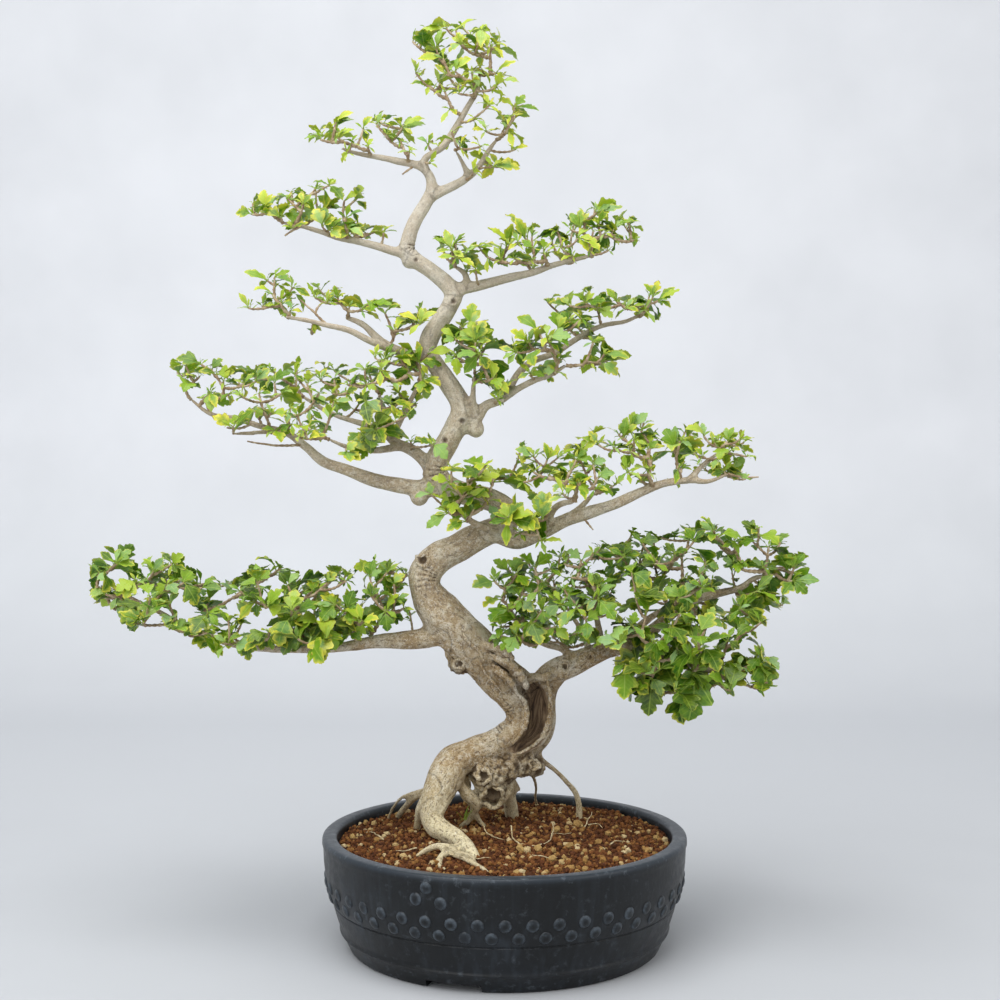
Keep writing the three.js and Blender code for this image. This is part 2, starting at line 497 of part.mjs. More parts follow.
// The leaf numbered k of a spray, with its tip turned by an angle about the spray's middle.
// The leaves' tips are spread evenly through the spray's reach.
function leafOf(index, k, row, seats, angle) {
  const [, , hub, reach, size, count] = row;
  const turn = k * golden + 2 * Math.PI * draw(index, 0, 1) + angle;
  const far = Math.sqrt((k + 0.5) / count);
  const up = 0.8 - 1.5 * far * far + 0.7 * (draw(index, k, 2) - 0.5);
  const tip = onSight(hub);
  tip.x += reach[0] * far * Math.cos(turn);
  tip.y += reach[1] * far * Math.sin(turn);
  tip.z += reach[2] * up;
  const towards = (seat) => tip.clone().sub(seat.middle).normalize();
  const seat = seats.reduce((a, b) => (towards(b).dot(b.out) > towards(a).dot(a.out) ? b : a));
  const along = towards(seat);
  const upper = upright.clone().addScaledVector(along, -along.z);
  if (upper.lengthSq() < 0.05) upper.set(1, 0, 0);
  upper.normalize().applyAxisAngle(along, 1.1 * (draw(index, k, 13) - 0.5));
  const length = size * (0.8 + 0.34 * draw(index, k, 14));
  return {
    seat,
    along,
    upper,
    length,
    stalk: Math.max(tip.distanceTo(seat.middle) - length, 0.12 * length),
    fold: 0.5 * (draw(index, k, 15) - 0.35),
    droop: 0.1 + 0.18 * draw(index, k, 16),
  };
}

// A leaf and its stalk: one outline drawn flat and given its thickness, then folded and bent
// down. The end of its stalk is the seat that it grows out of, or is cut short to try its room.
function leafGeometry({ seat, along, upper, length, stalk, fold, droop }, cut) {
  const edge = length < largeLeaf ? smallBlade : largeBlade;
  const shape = new THREE.Shape([
    new THREE.Vector2(-1, cut * stalk),
    new THREE.Vector2(1, cut * stalk),
    ...edge.map(([x, y]) => new THREE.Vector2(x * length, stalk + y * length)),
  ]);
  const across = along.clone().cross(upper);
  const from = [[1, -1], [-1, -1], [-1, 1], [1, 1]]; // of the stalk's end, across and up
  const fit = (turn) => from.reduce((sum, [x, z], i) => {
    const p = seat.corners[(i + turn) % 4].clone().sub(seat.middle);
    return sum + x * p.dot(across) + z * p.dot(upper);
  }, 0);
  const turn = [0, 1, 2, 3].reduce((a, b) => (fit(b) > fit(a) ? b : a));
  const flat = new THREE.ExtrudeGeometry(shape, { depth: leafThick, bevelEnabled: false });
  return moved(flat, (x, y, z) => {
    if (y < 1e-6) {
      const i = from.findIndex(([fx, fz]) => fx * x > 0 && fz * (z - leafThick / 2) > 0);
      return seat.corners[(i + turn) % 4];
    }
    const beyond = Math.max(y - stalk, 0);
    const lift = fold * Math.abs(x) - (droop * beyond * beyond) / length;
    return seat.middle.clone().addScaledVector(across, x).addScaledVector(along, y)
      .addScaledVector(upper, lift + z - leafThick / 2);
  });
}

const turns = [0, 0.4, -0.4, 0.8, -0.8, 1.2, -1.2]; // radians that a leaf may turn to stay clear
const steepest = 0.5; // cosine between a leaf and the way that its seat faces

// Bows of a stem in the order in which they are tried: how much it sags and how much it swings.
const bows = [
  [0.1, 0], [-0.1, 0], [0.1, 0.2], [0.1, -0.2],
  [-0.2, 0.2], [-0.2, -0.2], [0, 0.4], [0, -0.4],
];

function boxGap(a, b) {
  const [p, q] = [a.boundingBox(), b.boundingBox()];
  return Math.max(...[0, 1, 2].map((i) => Math.max(p.min[i] - q.max[i], q.min[i] - p.max[i])));
}
const clear = (body, others) => others.every(
  (other) => boxGap(body, other) > leafGap || body.minGap(other, leafGap * 2) > leafGap,
);

// A spray: a stem and its leaves, each clear of the wood, of its fellows and of the other sprays.
function buildSpray(index, row, roomyWood, neighbours) {
  const stems = bows.map((bow) => stemOn(stemOf(row, bow), 2 * Math.PI * draw(index, 0, 3)));
  const stem = stems.find(({ geometry }) => clear(solid(geometry.clone()), neighbours));
  if (!stem) return null;
  const leaves = [];
  const blades = [solid(stem.geometry.clone())];
  let { seats } = stem;
  for (let k = 0; k < row[5]; k += 1) {
    for (const angle of turns) {
      const leaf = leafOf(index, k, row, seats, angle);
      if (leaf.along.dot(leaf.seat.out) < steepest) continue;
      const blade = solid(leafGeometry(leaf, 0.4));
      if (!clear(blade, [roomyWood, ...blades])) continue;
      if (!clear(solid(leafGeometry(leaf, 0)), neighbours)) continue;
      leaves.push(leaf);
      blades.push(blade);
      seats = seats.filter((seat) => seat !== leaf.seat);
      break;
    }
  }
  if (!leaves.length) return null;
  const grown = mergeGeometries([stem.geometry, ...leaves.map((leaf) => leafGeometry(leaf, 0))]);
  return largest(solid(grown, leaves.map((leaf) => leaf.seat.corners)).subtract(roomyWood));
}

// The whole bonsai.
const colours = {
  pot: ['#3c434c', 0.62],
  soil: ['#6a3f2a', 0.95],
  wood: ['#b5a68c', 0.85],
  leaf: ['#6fa336', 0.55],
};
const material = {};
Object.entries(colours).forEach(([name, [color, roughness]]) => {
  material[name] = new THREE.MeshStandardMaterial({ name, color, roughness, metalness: 0 });
});

const group = new THREE.Group();
function place(name, body, look) {
  const mesh = new THREE.Mesh(geometryOf(body), look);
  mesh.name = name;
  group.add(mesh);
}

const roomyWood = buildWood(gap);
place('pot', buildPot(), material.pot);
place('soil', buildSoil(roomyWood), material.soil);
place('trunk', buildWood(0), material.wood);
const grown = [];
Object.entries(sprays).forEach(([name, row], index) => {
  const spray = buildSpray(index, row, roomyWood, grown);
  if (!spray) return;
  grown.push(spray);
  place(`spray_${name}`, spray, material.leaf);
});

// the middle of the base is the origin
const box = new THREE.Box3().setFromObject(group);
group.position.set(-(box.min.x + box.max.x) / 2, -(box.min.y + box.max.y) / 2, 0);

export default group;
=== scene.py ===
import json
import math
from functools import partial

import bpy
import numpy as np
from mathutils import Matrix, Vector, noise
from mathutils.bvhtree import BVHTree
from mathutils.kdtree import KDTree

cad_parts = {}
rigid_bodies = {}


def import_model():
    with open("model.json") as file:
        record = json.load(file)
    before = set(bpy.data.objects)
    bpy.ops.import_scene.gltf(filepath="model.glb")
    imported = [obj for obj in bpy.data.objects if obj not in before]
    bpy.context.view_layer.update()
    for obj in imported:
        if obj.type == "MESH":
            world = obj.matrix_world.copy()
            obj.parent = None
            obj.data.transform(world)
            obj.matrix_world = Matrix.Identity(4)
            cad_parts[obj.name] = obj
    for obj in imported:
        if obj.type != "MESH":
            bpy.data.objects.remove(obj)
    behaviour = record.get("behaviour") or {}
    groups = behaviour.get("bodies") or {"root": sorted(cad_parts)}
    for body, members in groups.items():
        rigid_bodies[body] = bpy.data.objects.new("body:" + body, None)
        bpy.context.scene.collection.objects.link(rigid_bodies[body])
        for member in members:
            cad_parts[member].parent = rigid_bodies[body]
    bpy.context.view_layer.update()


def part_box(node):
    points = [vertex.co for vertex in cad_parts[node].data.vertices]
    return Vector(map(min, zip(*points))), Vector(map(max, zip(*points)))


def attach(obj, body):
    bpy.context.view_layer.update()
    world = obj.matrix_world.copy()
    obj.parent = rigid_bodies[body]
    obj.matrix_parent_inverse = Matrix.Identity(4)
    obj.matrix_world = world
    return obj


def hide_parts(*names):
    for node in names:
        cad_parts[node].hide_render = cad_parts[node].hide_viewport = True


# Rose of sharon bonsai in a round drum pot: its looks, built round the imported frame.
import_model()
noise.seed_set(7)  # without it noise_vector draws its offsets from the clock, and no two runs agree

mm = 0.001
potLow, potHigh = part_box("pot")
potMiddle = (potLow + potHigh) / 2

# Where a point's depth is reckoned from: the eye's place across, its distance and its height.
eye = {"across": -5.3, "distance": 1630, "height": 515}


def onSight(x, z, depth=0.0):
    # a point read on the upright plane through the pot's middle, carried along its line of sight
    k = 1 + depth / eye["distance"]
    across = eye["across"] + (x - eye["across"]) * k
    up = eye["height"] + (z - eye["height"]) * k
    return Vector((potMiddle.x + across * mm, potMiddle.y + depth * mm, up * mm))


def draw(a, b, c):
    # even draw between 0 and 1 from three whole numbers
    full = 0xFFFFFFFF
    h = ((a + 1) * 73856093 ^ (b + 1) * 19349663 ^ (c + 1) * 83492791) & full
    h = ((h ^ (h >> 15)) * 0x2C1B3C6D) & full
    h = ((h ^ (h >> 12)) * 0x297A2D39) & full
    return (h ^ (h >> 15)) / 4294967296


def report(words):
    print("bonsai:", words, flush=True)


def deselectAll():
    bpy.ops.object.select_all(action="DESELECT")


def choose(piece):
    deselectAll()
    piece.select_set(True)
    bpy.context.view_layer.objects.active = piece


def applyModifier(piece, kind, **settings):
    choose(piece)
    modifier = piece.modifiers.new(kind.title(), kind)
    for name, value in settings.items():
        setattr(modifier, name, value)
    bpy.ops.object.modifier_apply(modifier=modifier.name)


def newMesh(name, points, faces):
    mesh = bpy.data.meshes.new(name)
    mesh.from_pydata([tuple(p) for p in points], [], faces)
    mesh.update()
    piece = bpy.data.objects.new(name, mesh)
    bpy.context.collection.objects.link(piece)
    return piece


def rods(name, strands, roundness=2):
    # tapering rods along strands of (place, radius), as one mesh
    curve = bpy.data.curves.new(name, "CURVE")
    curve.dimensions = "3D"
    curve.bevel_depth = 1.0
    curve.bevel_resolution = roundness
    curve.use_fill_caps = True
    for strand in strands:
        spline = curve.splines.new("POLY")
        spline.points.add(len(strand) - 1)
        spline.points.foreach_set("co", [c for place, _ in strand for c in (*place, 1.0)])
        spline.points.foreach_set("radius", [radius for _, radius in strand])
    piece = bpy.data.objects.new(name, curve)
    bpy.context.collection.objects.link(piece)
    choose(piece)
    bpy.ops.object.convert(target="MESH")
    return bpy.context.view_layer.objects.active


def joinAll(name, pieces):
    deselectAll()
    for piece in pieces:
        piece.select_set(True)
    bpy.context.view_layer.objects.active = pieces[0]
    bpy.ops.object.join()
    pieces[0].name = name
    pieces[0].data.name = name
    return pieces[0]


def corners(piece):
    flat = np.empty(len(piece.data.vertices) * 3)
    piece.data.vertices.foreach_get("co", flat)
    return flat.reshape(-1, 3)


def setCorners(piece, places):
    piece.data.vertices.foreach_set("co", np.ascontiguousarray(places, dtype=np.float32).ravel())
    piece.data.update()


def cornerNormals(piece):
    flat = np.empty(len(piece.data.vertices) * 3)
    piece.data.vertex_normals.foreach_get("vector", flat)
    return flat.reshape(-1, 3)


def setAttribute(piece, name, values, kind="FLOAT"):
    layer = piece.data.attributes.new(name, kind, "POINT")
    flat = np.ascontiguousarray(values, dtype=np.float32).ravel()
    layer.data.foreach_set("value" if kind == "FLOAT" else "vector", flat)


def neighbourMean(piece, values):
    # mean of each corner's neighbours along the edges
    pairs = np.empty(len(piece.data.edges) * 2, dtype=np.int32)
    piece.data.edges.foreach_get("vertices", pairs)
    pairs = pairs.reshape(-1, 2)
    count = len(piece.data.vertices)
    total = np.zeros((count, values.shape[1]))
    number = np.bincount(pairs.ravel(), minlength=count)
    for k in range(values.shape[1]):
        total[:, k] = np.bincount(pairs[:, 0], values[pairs[:, 1], k], count)
        total[:, k] += np.bincount(pairs[:, 1], values[pairs[:, 0], k], count)
    return total / np.maximum(number, 1)[:, None]


def treeOf(places):
    # a search tree over places, numbered in their order
    tree = KDTree(len(places))
    for i, place in enumerate(places):
        tree.insert(place, i)
    tree.balance()
    return tree


def faceOutward(piece):
    choose(piece)
    bpy.ops.object.mode_set(mode="EDIT")
    bpy.ops.mesh.select_all(action="SELECT")
    bpy.ops.mesh.normals_make_consistent(inside=False)
    bpy.ops.object.mode_set(mode="OBJECT")


def smoothPoint(four, t):
    # a point of the smooth curve through four places, between the middle two
    a, b, c, d = four
    return 0.5 * (2 * b + (c - a) * t + (2 * a - 5 * b + 4 * c - d) * t * t
                  + (3 * b - a - 3 * c + d) * t ** 3)


def smoothStep(low, high, x):
    t = np.clip((x - low) / (high - low), 0, 1)
    return t * t * (3 - 2 * t)


def linear(hexColour):
    # sRGB hex to linear RGBA
    parts = [int(hexColour[i:i + 2], 16) / 255 for i in (1, 3, 5)]
    return (*[c / 12.92 if c <= 0.04045 else ((c + 0.055) / 1.055) ** 2.4 for c in parts], 1.0)


def wire(node, inputs):
    # links each input to another node's output, or sets it
    for key, value in inputs.items():
        if isinstance(value, bpy.types.NodeSocket):
            node.id_data.links.new(value, node.inputs[key])
        else:
            node.inputs[key].default_value = linear(value) if isinstance(value, str) else value


def addNode(tree, kind, inputs=None, output=0, stops=(), **settings):
    # a node with its settings and links, and a ramp's stops; gives back one of its outputs
    node = tree.nodes.new("ShaderNode" + kind)
    for name, value in settings.items():
        setattr(node, name, value)
    wire(node, inputs or {})
    for k, (place, colour) in enumerate(stops):
        elements = node.color_ramp.elements
        element = elements[k] if k < 2 else elements.new(place)
        element.position = place
        element.color = linear(colour) if isinstance(colour, str) else (colour, colour, colour, 1)
    return node.outputs[output]


def newMaterial(name):
    # a material, its shader, and addNode for its tree
    material = bpy.data.materials.new(name)
    material.use_nodes = True
    return material, material.node_tree.nodes["Principled BSDF"], partial(addNode, material.node_tree)


# Bark of a trained rose of sharon: thin corky skin over wood, wrinkled across the bends.
# It gives the eye tan and grey blotches, short dark cracks, pale dust, and cream at the soil.
def barkMaterial():
    material, shader, add = newMaterial("rose_of_sharon_bark")
    grain = add("Attribute", output=1, attribute_name="grain")
    marks = ("thick", "paintedShadeAndCrust", "inner")
    thick, paintedShadeAndCrust, inner = [add("Attribute", output=2, attribute_name=name) for name in marks]
    place = add("TexCoord", output=3)
    height = add("SeparateXYZ", {0: place}, 2)
    cracked = add("Mapping", {"Vector": grain, "Scale": (1, 1, 0.34)})
    split = add("Mapping", {"Vector": grain, "Scale": (1, 1, 0.07)})
    patches, mottle, streaks, fine, fibres = [
        add("TexNoise", {"Vector": vector, "Scale": scale, "Detail": detail, "Roughness": rough})
        for vector, scale, detail, rough in [
            (place, 30, 5, 0.65),  # blotches, 30 mm
            (place, 170, 4, 0.7),  # 6 mm
            (cracked, 330, 4, 0.65),  # cracks, 3 mm apart
            (place, 620, 3, 0.65),  # pores, 1.6 mm
            (split, 420, 3, 0.6),  # fibres, 2.4 mm apart
        ]]
    colour = add("ValToRGB", {0: patches},
                 stops=[(0.3, "#987d56"), (0.45, "#b59c74"), (0.57, "#c8b899"), (0.72, "#dbd3c1")])
    low = add("ValToRGB", {0: height}, stops=[(0.12, 0.9), (0.21, 0.0)])
    blotched = add("ValToRGB", {0: mottle}, stops=[(0.35, 0.6), (0.6, 1.0)])
    for source, stops, tint in [
        (mottle, [(0.36, 0.55), (0.5, 0.0)], "#927b58"),
        (mottle, [(0.5, 0.0), (0.66, 0.75)], "#e2dbcb"),
        (add("Math", {0: low, 1: blotched}, operation="MULTIPLY"), [(0.0, 0.0), (1.0, 1.0)], "#eadfb6"),
        (streaks, [(0.36, 0.8), (0.46, 0.0)], "#64503a"),
        (fine, [(0.35, 0.75), (0.44, 0.0)], "#665236"),
        (fine, [(0.56, 0.0), (0.68, 0.75)], "#eee8db"),
        (height, [(0.3, 0.0), (0.8, 0.6)], "#d2cbbd"),  # greyer towards the top
    ]:
        part = add("ValToRGB", {0: source}, stops=stops)
        colour = add("Mix", {0: part, 6: colour, 7: tint}, 2, data_type="RGBA")
    thin = add("ValToRGB", {0: thick}, stops=[(0.0018, 0.7), (0.005, 0.0)])
    # split grey-brown wood in the hollow
    lines = add("ValToRGB", {0: fibres}, stops=[(0.36, "#45362a"), (0.5, "#76614b"), (0.66, "#9d876b")])
    # dark brown where the wood is sunk is painted shade; on the burls it is also the crust's own tint
    for part, tint in [(thin, "#9a8769"), (paintedShadeAndCrust, "#44321f"), (inner, lines)]:
        colour = add("Mix", {0: part, 6: colour, 7: tint}, 2, data_type="RGBA")
    relief = 0.0
    for source, share in [(mottle, 0.5), (streaks, 0.6), (fine, 0.25)]:
        relief = add("Math", {0: source, 1: share, 2: relief}, operation="MULTIPLY_ADD")
    wire(shader, {
        "Base Color": colour,
        "Roughness": add("ValToRGB", {0: patches}, stops=[(0.3, 0.92), (0.7, 0.76)]),
        "Specular IOR Level": 0.3,
        "Normal": add("Bump", {"Strength": 1.0, "Distance": 2.4 * mm, "Height": relief}),
    })
    return material


leafMarks = ["edge", "tone", "sere", "young", "paintedSkySheen"]  # what each corner of a leaf carries


# Leaf of rose of sharon: thin, faintly waxy above, green in the middle, with yellow-green margins
# and dry brown points. It gives the eye raised pale veins, a soft gloss and a painted pale sheen.
def leafMaterial():
    material, shader, add = newMaterial("rose_of_sharon_leaf")
    edge, tone, sere, young, paintedSkySheen = [add("Attribute", output=2, attribute_name=name) for name in leafMarks]
    uv = add("UVMap", uv_map="blade")
    across = add("Math", {0: add("SeparateXYZ", {0: uv})}, operation="ABSOLUTE")
    along = add("SeparateXYZ", {0: uv}, 1)
    place = add("TexCoord", output=3)
    mottle = add("TexNoise", {"Vector": place, "Scale": 160, "Detail": 3, "Roughness": 0.6})  # 6 mm
    cloudy = add("ValToRGB", {0: mottle}, stops=[(0.35, 0.0), (0.7, 0.3)])
    paintedSheenCast = add("Math", {0: paintedSkySheen, 1: 0.7}, operation="MULTIPLY")  # painted sheen: a pale blue-green cast that stands in for the sky's reflection
    # main veins run from the blade's foot to its three lobes, side veins leave the midrib
    lobeVein = add("Math", {0: along, 1: -0.7, 2: across}, operation="MULTIPLY_ADD")
    lobeVein = add("Math", {0: lobeVein}, operation="ABSOLUTE")
    ribs = add("Math", {0: across, 1: lobeVein}, operation="MINIMUM")
    slant = add("Math", {0: across, 1: -0.8, 2: along}, operation="MULTIPLY_ADD")
    ribs = add("ValToRGB", {0: ribs}, stops=[(0.006, 1.0), (0.024, 0.0)])
    side = add("Math", {0: slant, 1: 0.07}, operation="PINGPONG")
    side = add("ValToRGB", {0: side}, stops=[(0.0, 0.4), (0.016, 0.0)])
    veins = add("Math", {0: ribs, 1: side}, operation="MAXIMUM")
    pale = add("Math", {0: veins, 1: 0.4}, operation="MULTIPLY")
    # yellow spreads in from the margin, most towards the point; brown takes the point itself
    outer = add("Math", {0: edge, 1: 0.55, 2: sere}, operation="MULTIPLY_ADD")
    outer = add("Math", {0: along, 1: 0.5, 2: outer}, operation="MULTIPLY_ADD")
    outer = add("Math", {0: mottle, 1: 0.7, 2: outer}, operation="MULTIPLY_ADD")
    half = add("Math", {0: outer, 1: 0.5, 2: -0.175}, operation="MULTIPLY_ADD")
    yellow = add("ValToRGB", {0: half}, stops=[(0.37, 0.0), (0.62, 0.95)])
    beyond = add("Math", {0: outer, 1: 1.15}, operation="SUBTRACT")
    brown = add("ValToRGB", {0: beyond}, stops=[(0.62, 0.0), (0.72, 1.0)])
    behind = add("Math", {0: along, 1: 0.5}, operation="ADD")
    stalk = add("ValToRGB", {0: behind}, stops=[(0.49, 1.0), (0.5, 0.0)])
    colour = add("ValToRGB", {0: tone}, stops=[(0.0, "#143806"), (0.3, "#35690b"), (0.6, "#6b9414"),
                                               (1.0, "#adbe34")])
    for part, tint in [(cloudy, "#9fbe24"), (young, "#b3c946"), (paintedSheenCast, "#9dc283"), (pale, "#b4cc58"),
                       (yellow, "#d3cf45"), (brown, "#5b3317"), (stalk, "#8ba03e")]:
        colour = add("Mix", {0: part, 6: colour, 7: tint}, 2, data_type="RGBA")
    wire(shader, {
        "Base Color": colour,
        "Roughness": 0.36,
        "Specular IOR Level": 0.36,
        "Subsurface Weight": 0.12,
        "Subsurface Radius": (0.3, 0.6, 0.1),
        "Subsurface Scale": 2 * mm,
        "Normal": add("Bump", {"Strength": 0.5, "Distance": 0.4 * mm, "Height": veins}),
    })
    return material


# Injection-moulded polypropylene, blue-grey and matt. It gives the eye chalky dust on the
# rim, faint water streaks down the wall, and worn shoulders on the studs, partly a painted highlight.
def potMaterial():
    material, shader, add = newMaterial("moulded_polypropylene")
    studWearAndHighlight = add("Attribute", output=2, attribute_name="studWearAndHighlight")
    place = add("TexCoord", output=3)
    height = add("SeparateXYZ", {0: place}, 2)
    drawn = add("Mapping", {"Vector": place, "Scale": (1, 1, 0.06)})
    scored = add("Mapping", {"Vector": place, "Scale": (1, 1, 0.5)})
    clouds, dust, streaks, scratch = [
        add("TexNoise", {"Vector": vector, "Scale": scale, "Detail": detail, "Roughness": rough})
        for vector, scale, detail, rough in [
            (place, 14, 4, 0.6),  # 70 mm
            (place, 90, 5, 0.7),  # 11 mm
            (drawn, 120, 2, 0.5),  # water streaks, 8 mm wide
            (scored, 260, 2, 0.5),  # 4 mm
        ]]
    colour = add("ValToRGB", {0: clouds}, stops=[(0.3, "#0e1012"), (0.55, "#14171a"), (0.75, "#1d2126")])
    for first, firstStops, second, secondStops, tint in [
        (streaks, [(0.5, 0.0), (0.75, 0.35)], clouds, [(0.4, 0.2), (0.6, 1.0)], "#39414a"),
        (height, [(0.1205, 0.0), (0.1262, 0.55)], height, [(0.0, 1.0), (1.0, 1.0)], "#3d4650"),
        (dust, [(0.56, 0.0), (0.72, 0.6)], height,
         [(0.0, 0.8), (0.03, 0.3), (0.11, 0.25), (0.127, 1.0)], "#767f88"),
        # a pale ring round each stud: wear, and partly a painted highlight that picks the studs out
        (studWearAndHighlight, [(0.0, 0.0), (1.0, 1.0)], dust, [(0.4, 0.15), (0.6, 0.8)], "#4d565f"),
    ]:
        one = add("ValToRGB", {0: first}, stops=firstStops)
        other = add("ValToRGB", {0: second}, stops=secondStops)
        part = add("Math", {0: one, 1: other}, operation="MULTIPLY")
        colour = add("Mix", {0: part, 6: colour, 7: tint}, 2, data_type="RGBA")
    relief = add("Math", {0: clouds, 1: 2.0, 2: scratch}, operation="MULTIPLY_ADD")
    wire(shader, {
        "Base Color": colour,
        "Roughness": add("ValToRGB", {0: dust}, stops=[(0.35, 0.3), (0.7, 0.5)]),
        "Specular IOR Level": 0.3,
        "Normal": add("Bump", {"Strength": 0.25, "Distance": 0.5 * mm, "Height": relief}),
    })
    return material


# Fired clay granules and crushed lava: red-brown, porous. It gives each grain its own shade.
def soilMaterial():
    material, shader, add = newMaterial("clay_granules")
    tone = add("Attribute", output=2, attribute_name="tone")
    place = add("TexCoord", output=3)
    pores = add("TexNoise", {"Vector": place, "Scale": 900, "Detail": 3, "Roughness": 0.6})  # 1.1 mm
    colour = add("ValToRGB", {0: tone}, stops=[(0.0, "#3c2415"), (0.3, "#633b22"), (0.6, "#87582f"),
                                               (0.8, "#a27a45"), (0.92, "#b99a62"), (1.0, "#d9c69a")])
    holes = add("ValToRGB", {0: pores}, stops=[(0.3, 0.55), (0.6, 0.0)])
    colour = add("Mix", {0: holes, 6: colour, 7: "#2f1b12"}, 2, data_type="RGBA")
    wire(shader, {
        "Base Color": colour,
        "Roughness": 0.95,
        "Specular IOR Level": 0.2,
        "Normal": add("Bump", {"Strength": 0.6, "Distance": 0.4 * mm, "Height": pores}),
    })
    return material


# Bare rootlets: dry and fibrous. It gives the eye cream threads with tan spots.
def rootletMaterial():
    material, shader, add = newMaterial("dry_rootlet")
    place = add("TexCoord", output=3)
    spots = add("TexNoise", {"Vector": place, "Scale": 300, "Detail": 2, "Roughness": 0.5})  # 3 mm
    wire(shader, {
        "Base Color": add("ValToRGB", {0: spots}, stops=[(0.35, "#a08a63"), (0.65, "#dccfa9")]),
        "Roughness": 0.85,
        "Normal": add("Bump", {"Strength": 0.4, "Distance": 0.3 * mm, "Height": spots}),
    })
    return material


# Young shoots: smooth skin. It gives the eye brown-grey bands and pale pores.
def twigMaterial():
    material, shader, add = newMaterial("shoot_bark")
    place = add("TexCoord", output=3)
    bands = add("TexNoise", {"Vector": place, "Scale": 150, "Detail": 3, "Roughness": 0.6})  # 7 mm
    fine = add("TexNoise", {"Vector": place, "Scale": 800, "Detail": 2, "Roughness": 0.6})  # 1.2 mm
    colour = add("ValToRGB", {0: bands}, stops=[(0.32, "#7a6348"), (0.5, "#a18a6b"), (0.68, "#c2b395")])
    pores = add("ValToRGB", {0: fine}, stops=[(0.58, 0.0), (0.7, 0.5)])
    wire(shader, {
        "Base Color": add("Mix", {0: pores, 6: colour, 7: "#dacfb8"}, 2, data_type="RGBA"),
        "Roughness": 0.8,
        "Normal": add("Bump", {"Strength": 0.5, "Distance": 0.4 * mm, "Height": fine}),
    })
    return material


looks = {
    "bark": barkMaterial(),
    "leaf": leafMaterial(),
    "pot": potMaterial(),
    "soil": soilMaterial(),
    "rootlet": rootletMaterial(),
    "twig": twigMaterial(),
}


def dress(piece, look, replaced=()):
    # a finished piece's material, and its place in the part
    piece.data.materials.clear()
    piece.data.materials.append(looks[look])
    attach(piece, "root")
    if replaced:
        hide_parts(*replaced)


# Wood: [x, z, depth, radius] along each piece.
trunkLow = [
    [-34, 90, -112, 7.5], [-39, 98, -98, 9.5], [-46, 108, -74, 10.5], [-55, 117, -52, 10.5],
    [-69, 125, -28, 11.5], [-81, 133, -13, 12.5], [-86, 145, -6, 13.5], [-82, 159, -2, 16],
    [-76, 175, 5, 20], [-68, 193, 14, 22], [-57, 209, 24, 20.5], [-35, 219, 34, 19], [-11, 229, 42, 17.5],
    [7, 241, 46, 16.5], [15, 255, 48, 14.5], [14, 269, 46, 14.5], [5, 284, 42, 16.5], [-4, 295, 40, 18],
    [-17, 315, 36, 21.5], [-32, 337, 31, 26],
]
trunkMid = [
    [-17, 315, 36, 20], [-32, 337, 31, 26], [-54, 360, 26, 27.5], [-73, 380, 20, 26], [-86, 398, 15, 22],
    [-93, 411, 12, 19], [-94, 424, 10, 19], [-89, 437, 9, 19], [-76, 449, 9, 18.5], [-58, 457, 10, 17.5],
    [-40, 467, 11, 17], [-20, 477, 12, 16], [-2, 486, 13, 14.5], [5, 494, 13, 13],
]
trunkHigh = [
    [4, 488, 13, 13.5], [4, 500, 12, 14], [-8, 511, 11, 14], [-28, 519, 9, 13.5], [-55, 525, 7, 14],
    [-74, 534, 5, 15.5], [-82, 550, 4, 15], [-76, 568, 3, 14], [-66, 585, 2, 14], [-57, 601, 1, 14],
    [-50, 615, 0, 13.5], [-52, 630, 0, 12], [-62, 646, 1, 12], [-71, 660, 2, 11.5], [-80, 673, 3, 11],
    [-90, 690, 4, 11], [-86, 709, 4, 11.5], [-76, 724, 4, 11], [-66, 739, 3, 10.5], [-59, 754, 2, 11],
]
trunkTop = [
    [-66, 739, 3, 9.5], [-59, 755, 2, 10.5], [-70, 771, 2, 10.6], [-87, 785, 2, 9.6], [-104, 796, 2, 9.6],
    [-115, 808, 2, 9.6], [-113, 821, 1, 9.4], [-108, 835, 0, 8.8], [-101, 849, 0, 8.2], [-92, 864, 0, 8],
    [-84, 879, 0, 7.8],
]
rightTrunk = [
    [-2, 221, 44, 13], [10, 224, 52, 17], [24, 230, 57, 20], [36, 241, 60, 21], [41, 256, 61, 20.5],
    [41, 272, 60, 20], [43, 288, 57, 19], [50, 303, 53, 17.5], [62, 315, 48, 16], [76, 320, 44, 15.3],
    [100, 331, 38, 13.5], [122, 340, 32, 11.5], [140, 344, 28, 9.5],
]
